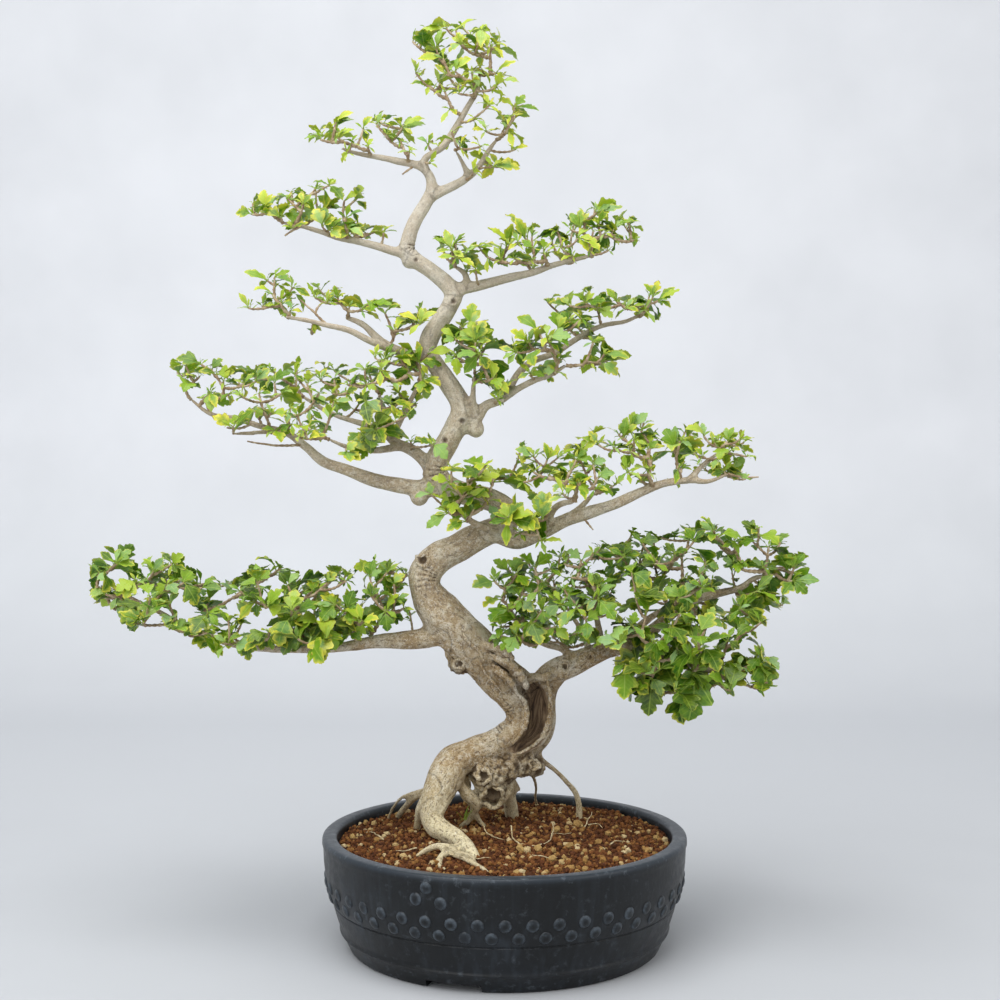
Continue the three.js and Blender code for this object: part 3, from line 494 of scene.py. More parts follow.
roots = [
    [[4, 197, 45, 8], [5, 176, 64, 8.4], [7, 157, 84, 8.4], [9, 142, 98, 8.4], [10, 131, 103, 8]],
    [[-53, 184, 18, 5.5], [-44, 169, 24, 8.5], [-34, 159, 32, 8], [-37, 148, 38, 4.6], [-43, 138, 44, 4.2],
     [-53, 130, 48, 3.6], [-60, 124, 50, 3]],
    [[-36, 150, 38, 4], [-28, 136, 45, 3.6], [-19, 129, 49, 3], [-12, 123, 50, 2.4]],
    [[42, 211, 60, 4], [60, 197, 66, 3.3], [73, 184, 72, 3.5], [83, 172, 78, 4], [87, 159, 82, 4.2],
     [88, 142, 86, 4.5], [88, 130, 88, 4]],
    [[26, 200, 62, 3.4], [34, 189, 88, 2.8], [37, 178, 126, 2.7], [36, 166, 160, 2.6], [38, 157, 176, 2.4],
     [39, 149, 182, 2.4]],
    [[6, 194, 55, 4], [12, 184, 64, 3.2], [18, 174, 70, 2.6]],
    [[-80, 178, 8, 4], [-104, 172, 32, 2.8], [-120, 166, 56, 2.5], [-130, 155, 80, 2.4],
     [-136, 142, 97, 2.4], [-138, 132, 104, 2.2]],
    [[-84, 176, 6, 6], [-105, 166, 38, 5], [-116, 155, 78, 4.6], [-124, 144, 104, 4.4],
     [-128, 134, 114, 4.2]],
    [[-86, 174, 0, 8], [-97, 154, 8, 7], [-101, 139, 20, 5.4], [-103, 127, 34, 4.6], [-103, 116, 40, 4.2]],
    [[-46, 106, -68, 5], [-62, 107, -82, 4.6], [-78, 109, -86, 4.2], [-92, 104, -88, 3.6],
     [-103, 96, -90, 3], [-108, 87, -92, 2.4]],
    [[-56, 104, -80, 5], [-60, 100, -98, 4.4], [-48, 95, -118, 3.6], [-36, 88, -136, 3.2],
     [-23, 81, -152, 2.8], [-12, 68, -160, 2.2]],
    [[-66, 103, -84, 5], [-75, 95, -104, 4.4], [-76, 87, -126, 3.6], [-68, 78, -144, 3],
     [-60, 70, -150, 2.4]],
    [[-62, 105, -84, 4], [-56, 101, -104, 3.4], [-44, 99, -118, 3], [-36, 93, -126, 2.6],
     [-32, 84, -130, 2.2]],
]
burls = [
    [-25, 194, 24, 14], [-14, 176, 30, 15], [3, 198, 34, 14.5], [19, 203, 44, 14], [-9, 189, 22, 9],
    [35, 203, 52, 13], [-53, 322, 30, 13], [-62, 334, 30, 9], [-34, 598, 2, 10.5], [-93, 443, 0, 11],
    [-112, 795, 2, 9], [-100, 518, 2, 10.5], [4, 492, 13, 13.2],
]
callus = [
    [[31, 301, 50, 8], [22, 309, 40, 8], [8, 321, 26, 7.5], [-6, 335, 16, 6.5]],
    [[33, 300, 54, 8], [44, 309, 46, 8], [58, 316, 36, 6]],
]
pits = [[-14, 170, 17, 8], [-24, 192, 11, 4], [-97, 446, -10, 5]]

limbs = {
    "low": [[-78, 358, 22, 14], [-105, 351, 20, 12], [-137, 350, 14, 9.5], [-164, 347, 8, 7.5],
        [-205, 341, 0, 6], [-261, 340, -6, 5], [-316, 345, -10, 4.5], [-371, 365, -12, 4],
        [-404, 383, -12, 3.4], [-427, 394, -12, 3], [-457, 410, -12, 2.2], [-482, 412, -12, 1.5]],
    "right": [[128, 341, 30, 11], [140, 344, 28, 9.5], [165, 356, 22, 8.3], [190, 376, 16, 7.2],
        [216, 396, 10, 6.3], [246, 404, 6, 5.4], [277, 412, 2, 4.6], [293, 423, 0, 3.6],
        [318, 428, 0, 2.2]],
    "rightFront": [[126, 342, 30, 8], [158, 338, -4, 6.5], [190, 330, -28, 5.5], [222, 321, -40, 4.5],
        [254, 313, -44, 3.5], [282, 316, -46, 2.4]],
    "rightBack": [[146, 350, 26, 7], [165, 372, 60, 5.2], [190, 388, 90, 4.2], [220, 401, 112, 2.8]],
    "rightUp": [[112, 338, 36, 7], [112, 356, 30, 5], [108, 376, 20, 4.2], [104, 396, 6, 3]],
    "rightLeft": [[86, 326, 44, 7], [68, 340, 36, 5], [48, 346, 24, 4.4], [28, 358, 12, 3.8],
        [12, 378, 2, 3], [2, 394, -6, 2.4]],
    "rightRear": [[100, 333, 42, 6], [96, 350, 70, 4.4], [84, 372, 94, 3.4], [72, 390, 106, 2.4]],
    "waist": [[-10, 478, 14, 13], [14, 467, 10, 10.5], [44, 477, 4, 9], [73, 492, -2, 8.3],
        [101, 501, -6, 7.8], [131, 511, -8, 7], [164, 526, -10, 6], [189, 535, -10, 5],
        [219, 538, -10, 4.2], [240, 537, -12, 3.2], [264, 546, -14, 2.4]],
    "waistUp": [[216, 538, -10, 4.2], [233, 556, -4, 3.4], [252, 571, 0, 2.2]],
    "waistFront": [[-6, 478, 4, 8], [-20, 482, -16, 5.5], [-36, 488, -28, 4.5], [-52, 500, -38, 3.5]],
    "waistBack": [[70, 491, 0, 6], [88, 505, 34, 4.4], [104, 522, 64, 3.4]],
    "waistStub": [[46, 480, 2, 6], [57, 503, -14, 4.6], [68, 511, -24, 4.2], [82, 513, -32, 3]],
    "left": [[-72, 530, 8, 12], [-107, 530, 4, 9.5], [-148, 537, 0, 8.6], [-188, 551, -4, 7],
        [-213, 560, -6, 6.4], [-234, 578, -6, 5.6], [-256, 594, -6, 5], [-285, 601, -8, 4.4],
        [-313, 610, -8, 3.8], [-345, 616, -10, 3.2], [-368, 633, -10, 2.3]],
    "leftFront": [[-264, 597, -6, 4.4], [-292, 594, -24, 3], [-318, 593, -38, 2.2]],
    "leftUp": [[-78, 546, 8, 11], [-105, 571, 14, 7.4], [-128, 583, 20, 6.4], [-140, 597, 26, 5.4],
        [-144, 618, 30, 4.2], [-147, 640, 32, 2.8]],
    "leftUpFront": [[-132, 588, 22, 5.5], [-120, 612, 12, 4], [-109, 634, 4, 3.4], [-99, 656, -6, 2.6]],
    "leftMid": [[-122, 578, 18, 6], [-152, 573, -4, 4.4], [-181, 576, -24, 3.6], [-206, 586, -38, 2.4]],
    "leftBack": [[-136, 596, 26, 5.5], [-172, 606, 44, 4.2], [-206, 618, 56, 3.4], [-236, 636, 64, 2.6]],
    "upRight": [[-50, 601, 2, 10], [-33, 612, 0, 7.4], [-22, 626, -2, 6.2], [-8, 631, -4, 5.8],
        [4, 638, -6, 5.4], [18, 647, -10, 4.8], [36, 656, -14, 4.2], [55, 662, -16, 3.6],
        [72, 673, -18, 2.6]],
    "upRightBack": [[2, 636, -6, 5.4], [14, 660, 4, 5], [32, 677, 12, 4.8], [60, 688, 18, 4.4],
        [86, 705, 22, 4], [113, 719, 24, 3.6], [143, 725, 24, 3.2], [165, 736, 24, 2.4]],
    "upRightShoot": [[-35, 612, 0, 6], [-37, 636, -8, 4], [-35, 660, -14, 2.8]],
    "upLeft": [[-86, 690, 6, 9], [-106, 684, 6, 7], [-134, 694, 4, 6.2], [-150, 706, 4, 5.4],
        [-166, 721, 4, 4.4], [-187, 730, 6, 3]],
    "upLeftFront": [[-136, 693, 4, 6], [-160, 703, -8, 4.6], [-182, 714, -14, 4.2], [-208, 720, -18, 3.8],
        [-233, 726, -20, 3.2], [-258, 730, -22, 2.4]],
    "crownRight": [[-62, 762, 4, 9], [-42, 764, 2, 7], [-17, 770, 0, 6.2], [6, 776, -2, 5.6],
        [33, 782, -4, 4.8], [58, 791, -4, 4.2], [83, 797, -6, 3.2], [106, 803, -8, 2.4]],
    "crownShoot": [[-44, 764, 2, 5.5], [-46, 780, 8, 4], [-58, 789, 10, 2.8]],
    "crownLeft": [[-108, 802, 2, 8], [-126, 806, 2, 6], [-150, 813, 0, 5.2], [-175, 819, -2, 4.6],
        [-196, 823, -4, 4], [-216, 830, -4, 3.6], [-238, 836, -6, 3], [-264, 841, -6, 2.2]],
    "topLeft": [[-86, 872, 0, 8], [-86, 890, -2, 6.4], [-94, 903, -4, 5.8], [-106, 909, -4, 5.2],
        [-122, 912, -4, 4.8], [-140, 916, -2, 4.2], [-158, 919, 0, 3.6], [-178, 923, 0, 3],
        [-192, 928, 0, 2.2]],
    "leader": [[-92, 900, -4, 5.4], [-94, 915, -6, 4.6], [-84, 922, -8, 4.4], [-71, 931, -8, 4.6],
        [-57, 952, -6, 4.6], [-43, 977, -4, 4.2], [-32, 996, -2, 3.6], [-29, 1018, 0, 2.6]],
    "topRight": [[-86, 872, 0, 8], [-68, 880, 2, 6.2], [-52, 888, 4, 5.6], [-40, 896, 6, 5],
        [-29, 908, 8, 4.4], [-18, 926, 10, 3.4], [-9, 938, 12, 2.4]],
    "topShoot": [[-42, 895, 5, 4.6], [-50, 912, -4, 3], [-58, 926, -12, 2]],
}

# The solids' sprays of each layer: middle of the leaves across, up and in depth, and their reach in depth.
sprays = {
    "top_tuft": {"leader_tip": [-34, 1046, 4, 40], "leader_left": [-76, 1008, 18, 40],
        "leader_right": [-10, 1002, -22, 36], "top_right": [4, 962, 14, 40],
        "top_front": [-62, 948, -28, 36]},
    "upper_left": {"top_left_tip": [-200, 950, 6, 36], "top_left_mid": [-140, 944, -12, 36]},
    "second_left": {"crown_left_tip": [-280, 858, -10, 40], "crown_left_mid": [-206, 862, 6, 42]},
    "upper_right": {"crown_shoot": [-74, 816, 22, 30], "crown_right_near": [2, 814, -22, 40],
        "crown_right_mid": [56, 820, 30, 42], "crown_right_tip": [116, 834, -6, 42]},
    "third_left": {"up_left_tip": [-268, 752, -24, 40], "up_left_mid": [-198, 752, 16, 44]},
    "middle_right": {"up_right_shoot": [-36, 694, -22, 38], "up_right_near": [26, 696, -40, 42],
        "up_right_mid": [76, 718, 38, 46], "up_right_high": [108, 748, 4, 44],
        "up_right_tip": [171, 756, 16, 38]},
    "middle_left": {"left_tip": [-361, 660, -6, 38], "left_low": [-276, 618, -44, 40],
        "left_back": [-248, 654, 70, 44], "left_front": [-206, 616, -56, 42],
        "left_high": [-160, 664, 34, 46], "left_inner": [-106, 686, -14, 42],
        "left_under": [-158, 594, -40, 34]},
    "lower_right": {"waist_front": [-60, 528, -54, 34], "waist_rosette": [10, 492, -40, 28],
        "waist_near": [38, 552, -14, 40], "waist_stub": [90, 536, -52, 40],
        "waist_back": [108, 562, 72, 46], "waist_mid": [148, 578, -12, 44],
        "waist_outer": [200, 574, 12, 40], "waist_tip": [262, 582, -4, 40]},
    "low_left": {"low_tip": [-462, 438, -14, 42], "low_outer": [-408, 428, 28, 46],
        "low_outer_front": [-396, 392, -48, 40], "low_back": [-346, 402, 34, 48],
        "low_front": [-324, 374, -50, 42], "low_hanging": [-256, 366, -54, 42],
        "low_inner_back": [-222, 396, 44, 46], "low_inner_front": [-204, 372, -46, 42],
        "low_near": [-152, 408, 4, 46]},
    "low_right": {"right_inner": [2, 410, -16, 42], "right_rear": [58, 420, 104, 48],
        "right_up": [92, 424, -20, 46], "right_back": [146, 432, 58, 48],
        "right_hanging": [168, 312, -62, 42], "right_hanging_outer": [228, 318, -64, 42],
        "right_front": [168, 388, -50, 44], "right_high": [210, 448, 4, 46],
        "right_far_back": [236, 428, 112, 46], "right_outer": [276, 448, -24, 44],
        "right_tip": [334, 434, 6, 42], "right_low_tip": [310, 326, -50, 38]},
}


trunks = [trunkLow, trunkMid, trunkHigh, trunkTop, rightTrunk]

wood = {
    "firstVoxel": 2 * mm,  # grain of the joined rods
    "cutterVoxel": 1.5 * mm,
    "voxel": 1.7 * mm,  # grain of the mesh once the hollow is cut
    "kept": 0.64,  # share of the faces kept once the relief is in
    "sample": 3 * mm,  # between two rings of a limb
    "fluting": 0.085,  # height of the lengthwise ridges, as a share of the radius
    "ridgeGrains": [[8 * mm, 60 * mm, 1], [3.5 * mm, 30 * mm, 0.5]],  # apart, length, share of the height
    "lumps": 0.085,
    "lumpSize": 24 * mm,
    "wrinkle": 1.4 * mm,  # height of the folds on the inner side of a bend
    "wrinklePitch": 5.5 * mm,
    "ridgeSample": 1.6 * mm,  # between two rings of a ridge
    "easings": 7,  # passes that ease the creases
    "crusted": 7,  # how many of the burls have a crust
    # passes of levelling, then the depths below the level where painted shade starts and is full, and its
    # share
    "shadeAndCrustShare": [[4, 0.12 * mm, 0.75 * mm, 0.75], [22, 0.5 * mm, 3.2 * mm, 0.6]],
    # where the skin is folded across: across, up, reach
    "wrinkled": [[12, 268, 26], [-2, 248, 20], [-82, 548, 18], [-90, 424, 20], [-110, 806, 12]],
    # round pruning scars facing the viewer: across, up, radius, rise of the collar
    "scars": [[72, 320, 8, 1.4], [101, 331, 5.5, 1.0], [-52, 323, 6, 1.2], [-95, 444, 7, 1.4],
              [-70, 585, 6, 1.1], [-50, 608, 6, 1.3], [-24, 192, 8, 1.8], [-104, 797, 4.5, 0.8],
              [-60, 748, 5, 0.9], [-20, 478, 5, 0.8]],
    # flesh between the larger pieces: across, up, depth and radius along each piece
    "webs": [
        [[-2, 322, 36, 10], [8, 306, 44, 9], [16, 294, 50, 8]],
        [[-34, 196, 30, 12], [-26, 184, 34, 12], [-20, 172, 38, 11], [-16, 164, 40, 9]],
        [[-34, 208, 32, 12], [-14, 204, 38, 14], [8, 208, 44, 14], [30, 214, 52, 12]],
        [[-20, 190, 36, 14], [-6, 182, 40, 14], [4, 170, 44, 11]],
        [[14, 200, 48, 12], [30, 208, 54, 12], [44, 212, 58, 8]],
        [[14, 306, 50, 9], [20, 292, 58, 9], [22, 276, 60, 9], [22, 256, 60, 9], [16, 240, 56, 8]],
        [[-54, 204, 34, 9], [-48, 190, 46, 8], [-44, 176, 54, 7]],
        [[-28, 168, 34, 7], [-25, 160, 36, 5], [-15, 157, 37, 4.5], [-5, 160, 38, 5], [0, 170, 38, 7]],
    ],
    # folded lips of old wounds at the fork and round the hollow
    "lips": [
        [[-24, 347, 8, 3.4], [-12, 341, 5, 5], [0, 335, 7, 5.2], [9, 328, 11, 4]],
        [[-14, 330, 8, 3], [-4, 326, 6, 4.6], [7, 320, 10, 5.6], [15, 309, 18, 6], [21, 299, 26, 4.6]],
        [[-12, 316, 10, 3.4], [-3, 310, 10, 4.6], [6, 302, 15, 4.8], [12, 293, 21, 3.6]],
        [[22, 304, 33, 4.4], [30, 307, 31, 5.4], [40, 307, 30, 5.4], [52, 305, 32, 4]],
        [[53, 300, 40, 4], [55, 286, 42, 4.6], [55, 270, 43, 4.6], [53, 254, 44, 4.6], [48, 240, 42, 5],
         [38, 229, 38, 5.5], [24, 222, 34, 5], [10, 218, 34, 4]],
        [[12, 290, 30, 4], [22, 280, 32, 5], [25, 268, 34, 5], [24, 254, 34, 5], [17, 243, 33, 5],
         [8, 233, 32, 4]],
    ],
    # crisp rolled ridges, drawn over the surface as seen: across, up and radius along each
    "ridges": [
        [[-14, 346, 1.6], [-6, 341, 3.8], [2, 336, 4.6], [8, 330, 4], [10, 324, 2]],
        [[-17, 335, 1.6], [-6, 328, 3.6], [4, 324, 5], [12, 318, 5.6], [19, 309, 5.8], [24, 300, 5.2],
         [26, 293, 2.6]],
        [[-14, 322, 1.6], [-6, 316, 3], [2, 308, 3.8], [9, 299, 3.8], [14, 291, 2]],
        [[24, 297, 2], [30, 302, 3.4], [38, 307, 4.2], [46, 309, 4], [53, 312, 3.2], [52, 317, 1.8]],
        [[50, 303, 2], [53, 290, 3.2], [54, 276, 3.4], [53, 262, 3.4], [50, 250, 3.4], [45, 238, 3.2],
         [36, 228, 3], [26, 221, 2.6], [14, 217, 1.6]],
        [[13, 290, 1.8], [20, 282, 3], [25, 272, 3.4], [26, 260, 3.4], [23, 248, 3.2], [17, 238, 2.6],
         [9, 229, 1.6]],
        [[-50, 360, 1.4], [-42, 348, 2.2], [-30, 338, 2], [-24, 326, 1.2]],
        [[-30, 330, 1.2], [-24, 314, 1.8], [-12, 300, 1.8], [-4, 290, 1]],
    ],
    # rolled rings round old cuts: across, up, radius, radius of the roll
    "rings": [[-25, 193, 9, 3], [-15, 168, 11.5, 2.6], [71, 320, 7.6, 1.5], [71, 320, 4, 1.1],
              [101, 331, 5.2, 1.3], [101, 331, 2.6, 0.9], [-52, 323, 6, 1.8], [35, 205, 5.6, 1.9],
              [-95, 444, 7, 1.6]],
    # the hollow as seen: wider than its lane in the solids
    "hollow": [[8, 221, 30, 4], [22, 227, 34, 8.5], [34, 238, 38, 11], [38, 254, 39, 12.5],
               [38.5, 270, 39, 12.5], [35, 285, 38, 12.5], [31, 296, 37, 9.5], [30, 302, 37, 5]],
}


def sampled(rows, step):
    # places and radii along a smooth curve through the rows
    points = [onSight(x, z, depth) for x, z, depth, _ in rows]
    radii = [row[3] * mm for row in rows]
    ends = [2 * points[0] - points[1], *points, 2 * points[-1] - points[-2]]
    strand = []
    for i in range(len(points) - 1):
        steps = max(2, round((points[i + 1] - points[i]).length / step))
        for k in range(steps):
            t = k / steps
            radius = radii[i] + (radii[i + 1] - radii[i]) * t * t * (3 - 2 * t)
            strand.append((smoothPoint(ends[i:i + 4], t), radius))
    strand.append((points[-1], radii[-1]))
    return strand


def balls(rows, subdivisions):
    # a sphere for each [x, z, depth, radius]
    pieces = []
    for x, z, depth, radius in rows:
        place = onSight(x, z, depth)
        bpy.ops.mesh.primitive_ico_sphere_add(subdivisions=subdivisions, radius=radius * mm, location=place)
        choose(bpy.context.object)
        bpy.ops.object.transform_apply(location=True, rotation=True, scale=True)
        pieces.append(bpy.context.object)
    return pieces


def hitOnSight(surface, x, z):
    # where the line of sight through a read point meets a surface, and the surface's normal there
    viewer = onSight(eye["across"], eye["height"], -eye["distance"] + 1)
    return surface.ray_cast(viewer, (onSight(x, z) - viewer).normalized())[:2]


def buildWood():
    strands = [sampled(rows, wood["sample"]) for rows in [
        *trunks, *roots, *callus, *limbs.values(), *wood["webs"], *wood["lips"]]]
    body = joinAll("wood", [rods("wood", strands, 5), *balls(burls, 3)])
    applyModifier(body, "REMESH", mode="VOXEL", voxel_size=wood["firstVoxel"])
    # the hollow between the two trunks, and the pits in the burls
    hollow = rods("hollow", [sampled(wood["hollow"], wood["sample"])], 4)
    cutter = joinAll("hollow", [hollow, *balls(pits, 2)])
    applyModifier(cutter, "REMESH", mode="VOXEL", voxel_size=wood["cutterVoxel"])
    applyModifier(body, "BOOLEAN", operation="DIFFERENCE", object=cutter, solver="MANIFOLD")
    bpy.data.objects.remove(cutter)
    applyModifier(body, "REMESH", mode="VOXEL", voxel_size=wood["voxel"])
    report(f"wood joined, {len(body.data.polygons)} faces")
    shapeBark(body, strands, len(strands) - len(wood["lips"]))
    return body


def rollRidges(body):
    # tubes half sunk in the wood along the ridges and rings; they stay crisp, with painted shade at their
    # feet
    surface = BVHTree.FromObject(body, bpy.context.evaluated_depsgraph_get())

    def depthAt(x, z, fallback):
        hit, _ = hitOnSight(surface, x, z)
        depth = (hit.y - potMiddle.y) / mm if hit else fallback
        return depth if fallback is None else min(max(depth, fallback - 5), fallback + 5)

    strands = []
    for line in wood["ridges"]:
        rows, depth = [], None
        for x, z, r in line:
            depth = depthAt(x, z, depth)
            rows.append([x, z, depth - 0.1 * r, r])
        strands.append(sampled(rows, wood["ridgeSample"]))
    for x, z, reach, r in wood["rings"]:
        middle = depthAt(x, z, None)
        uneven = 0.6 if x < 50 else 0.25  # the rings on the burls wave more than those on the stubs
        rows = []
        for k in range(14):
            angle = 2 * math.pi * k / 12
            spin = Vector((x, 1.6 * math.cos(angle), 1.6 * math.sin(angle)))
            wide = reach * (1 + uneven * noise.noise(spin))
            px, pz = x + wide * math.cos(angle), z + wide * math.sin(angle)
            rows.append([px, pz, depthAt(px, pz, middle) + 0.3 * r, r])
        strands.append(sampled(rows, wood["ridgeSample"]))
    for strand in strands:
        for i, (place, r) in enumerate(strand):
            shift = noise.noise_vector(place / 0.005) * 0.9 * mm
            strand[i] = (place + shift, r * (1 + 0.5 * noise.noise(place / 0.0035)))
    ridges = rods("wood_ridges", strands, 3)
    places = corners(ridges)
    line = [ring for strand in strands for ring in strand]
    tree = treeOf([place for place, _ in line])
    paintedShadeAndCrust = np.zeros(len(places))
    for v, p in enumerate(places):
        middle, r = line[tree.find(p)[1]]
        facing = (middle.y - p[1]) / r  # 1 towards the viewer
        # painted shade: darker on the side of each tube turned from the viewer, where it meets the wood
        paintedShadeAndCrust[v] = 0.75 * smoothStep(0.55, 0.05, facing)
    setAttribute(ridges, "grain", places, "FLOAT_VECTOR")
    setAttribute(ridges, "thick", np.full(len(places), 0.01))
    setAttribute(ridges, "paintedShadeAndCrust", paintedShadeAndCrust)
    setAttribute(ridges, "inner", np.zeros(len(places)))
    choose(ridges)
    bpy.ops.object.shade_smooth()
    return ridges


def limbFacts(strands):
    # of each ring of each limb: its axis, two sides, how far along the limb it is, and its radius
    facts = []
    for strand in strands:
        side, run = Vector((0.3, 0.9, 0.1)), 0.0
        for i, (place, radius) in enumerate(strand):
            before, after = strand[max(i - 2, 0)][0], strand[min(i + 2, len(strand) - 1)][0]
            axis = (after - before).normalized()
            side = (side - axis * side.dot(axis)).normalized()
            run += (place - strand[max(i - 1, 0)][0]).length
            facts.append((axis, side, axis.cross(side), run, radius))
    return facts


def foldRise(p, r, along, folds):
    # height of the folds across a bend, and painted shade in their troughs
    for middle, reach in folds:
        away = math.hypot(p.x - middle.x, p.z - middle.z)
        if away < reach and r > 6 * mm:
            part = (1 - (away / reach) ** 2) * (0.5 + 0.5 * noise.noise(p / 0.009))
            fold = math.sin(2 * math.pi * along / wood["wrinklePitch"] + 2.6 * noise.noise(p / 0.014))
            return wood["wrinkle"] * part * fold, 0.75 * max(-fold, 0) * part
    return 0.0, 0.0


def knobRise(p, knobs):
    # height of the crust on the burls, and its darkening: the crust's own tint, with painted shade in its
    # cracks and hollows
    for middle, reach in knobs:
        away = (p - middle).length
        if away < reach:
            cell = noise.voronoi(p / 0.008)[0][0]
            crumb = noise.noise(p / 0.0035)
            part = min((reach - away) / (4 * mm), 1)
            rise = part * (2.0 - 3.4 * cell + 1.3 * crumb) * mm
            return rise, part * (0.2 + max(cell - 0.4, 0) * 2.0 + max(-crumb, 0) * 0.8)
    return 0.0, 0.0


def barkRelief(places, rings, facts, tree):
    # of each corner: its place round and along its limb, its rise, and how much painted shade and crust
    # tint it gets
    grain, rise, paintedShadeAndCrust = np.zeros((len(places), 3)), np.zeros(len(places)), np.zeros(len(places))
    folds = [(onSight(x, z, 20), reach * mm) for x, z, reach in wood["wrinkled"]]
    knobs = [(onSight(x, z, depth), (r + 4) * mm) for x, z, depth, r in burls[:wood["crusted"]]]
    for v, p in enumerate(places):
        p = Vector(p)
        index = tree.find(p)[1]
        axis, side, front, start, r = facts[index]
        out = p - rings[index][0]
        u, w = out.dot(side), out.dot(front)
        length = math.hypot(u, w) or 1e-9
        u, w = u / length, w / length
        along = start + out.dot(axis)
        shift = rings[index][1] * 3.7  # so that no two limbs are alike
        grain[v] = (u * r, w * r + shift, along)
        ridge = sum(share * noise.noise(Vector((u * r / apart, w * r / apart + shift, along / run)))
                    for apart, run, share in wood["ridgeGrains"])
        lump = noise.noise(p / wood["lumpSize"])
        rise[v] = min(wood["fluting"] * r, 1.5 * mm) * ridge + min(wood["lumps"] * r, 1.8 * mm) * lump
        for more, shadeAndCrustShare in (foldRise(p, r, along, folds), knobRise(p, knobs)):
            rise[v] += more
            paintedShadeAndCrust[v] += shadeAndCrustShare
    return grain, rise, paintedShadeAndCrust


def scarRelief(body, places, rise, paintedShadeAndCrust):
    # pruning scars: a rolled collar round a sunken, cracked middle, with painted shade in the groove inside
    # the collar and in the middle
    surface = BVHTree.FromObject(body, bpy.context.evaluated_depsgraph_get())
    for x, z, r, collar in wood["scars"]:
        hit, normal = hitOnSight(surface, x, z)
        if not hit:
            continue
        offset = places - np.array(hit)
        level = offset @ np.array(normal)
        flat = np.sqrt(np.maximum((offset ** 2).sum(axis=1) - level ** 2, 0)) / (r * mm)
        flat = np.where(np.abs(level) < 1.2 * r * mm, flat, 9)
        ring = np.exp(-((flat - 0.8) / 0.22) ** 2)
        rise[flat < 1.3] *= 0.4
        rise += collar * (ring - 1.3 * smoothStep(0.62, 0.3, flat)) * mm
        paintedShadeAndCrust += 0.55 * np.exp(-((flat - 0.52) / 0.09) ** 2) + 0.5 * smoothStep(0.25, 0.1, flat)


def shapeBark(body, strands, firstLip):
    rings = [(place, s) for s, strand in enumerate(strands) for place, _ in strand]
    tree = treeOf([place for place, _ in rings])
    facts = limbFacts(strands)
    places = corners(body)
    # first the creases are eased, the thick wood more than the thin, and the lips hardly
    near = [tree.find(p)[1] for p in places]
    radius = np.array([facts[i][4] for i in near])
    ease = np.clip((radius / mm - 1.5) / 6, 0.08, 0.65)
    ease[[rings[i][1] >= firstLip for i in near]] = 0.12
    for _ in range(wood["easings"]):
        places += ease[:, None] * (neighbourMean(body, places) - places)
    setCorners(body, places)
    normals = cornerNormals(body)
    grain, rise, paintedShadeAndCrust = barkRelief(places, rings, facts, tree)
    lane = sampled(wood["hollow"], wood["sample"])
    laneTree = treeOf([place for place, _ in lane])
    found = [laneTree.find(p) for p in places]
    inner = smoothStep(1.35, 1.02, np.array([away / lane[i][1] for _, i, away in found]))
    # painted shade in the pits
    for x, z, depth, r in pits:
        away = np.linalg.norm(places - np.array(onSight(x, z, depth)), axis=1)
        paintedShadeAndCrust += 0.9 * smoothStep(1.5, 0.9, away / (r * mm))
    scarRelief(body, places, rise, paintedShadeAndCrust)
    places += normals * rise[:, None]
    setCorners(body, places)
    # painted shade: what lies lower than its surroundings, near and wide, is darkened
    mean = places.copy()
    for passes, low, high, shadeAndCrustShare in wood["shadeAndCrustShare"]:
        for _ in range(passes):
            mean = neighbourMean(body, mean)
        sunk = ((mean - places) * cornerNormals(body)).sum(axis=1)
        paintedShadeAndCrust += smoothStep(low, high, sunk) * shadeAndCrustShare
    setAttribute(body, "grain", grain, "FLOAT_VECTOR")
    setAttribute(body, "thick", radius)
    setAttribute(body, "paintedShadeAndCrust", np.clip(paintedShadeAndCrust, 0, 0.9))
    setAttribute(body, "inner", inner)
    choose(body)
    bpy.ops.object.shade_smooth()


trunkBody = buildWood()
wholeWood = joinAll("wood", [trunkBody, rollRidges(trunkBody)])
applyModifier(wholeWood, "DECIMATE", ratio=wood["kept"])
dress(wholeWood, "bark", ["trunk"])
report("wood shaped")


potMade = {
    "steps": 276,  # six for each boss of a row
    "bosses": 46,
    "upperRow": 78,
    "lowerRow": 64,
    "bossRadius": 7.3,
    "bossStand": 3.0,
    "cluster": [[-112.8, 114], [-116.2, 101], [-108.5, 99]],  # three more, left of the front
    "notchAngle": -107.5,
    "notchWidth": 62,
    "footHeight": 9,
    "footCircle": 172,  # where the notches are
    "drainCircle": 95,
    "drainRadius": 9,
    "lipOutside": 13,  # the outline's point where the wall starts outside
    # radius and height, from the middle of the floor over the lip to the middle underneath
    "outline": [
        [0, 18], [166, 18], [169.5, 18.6], [172, 21], [175, 34], [193, 113], [194.3, 118],
        [194.8, 122.5], [195.6, 125.6], [197.4, 127.1], [199.6, 127.5], [207.6, 127.5],
        [210, 127.1], [211.6, 125.8], [212.2, 123.6], [212.3, 119.5], [211.6, 117.6],
        [211, 114], [210.4, 100], [208.5, 82], [205.4, 67], [201.4, 56], [200.6, 54.4],
        [199.4, 53.8], [199.1, 52.8], [199.9, 51.8], [198.3, 46], [195.6, 37], [192.6, 28],
        [191.2, 24.2], [191.6, 22.8], [192.2, 21.2], [191.4, 19.6], [189.2, 18.4], [186.6, 13],
        [183, 5.4], [181.4, 1.8], [179.6, 0.3], [177.5, 0], [155.5, 0], [153.6, 0.6],
        [152.6, 2], [152, 9], [0, 9],
    ],
}


def wallRadius(z):
    # the wall's outer radius at a height, in millimetres, from the lip's outside down to the foot
    outer = potMade["outline"][potMade["lipOutside"]:]
    for (r0, z0), (r1, z1) in zip(outer, outer[1:]):
        if z1 <= z <= z0:
            return r0 + (r1 - r0) * (z - z0) / (z1 - z0)
    return 200.0


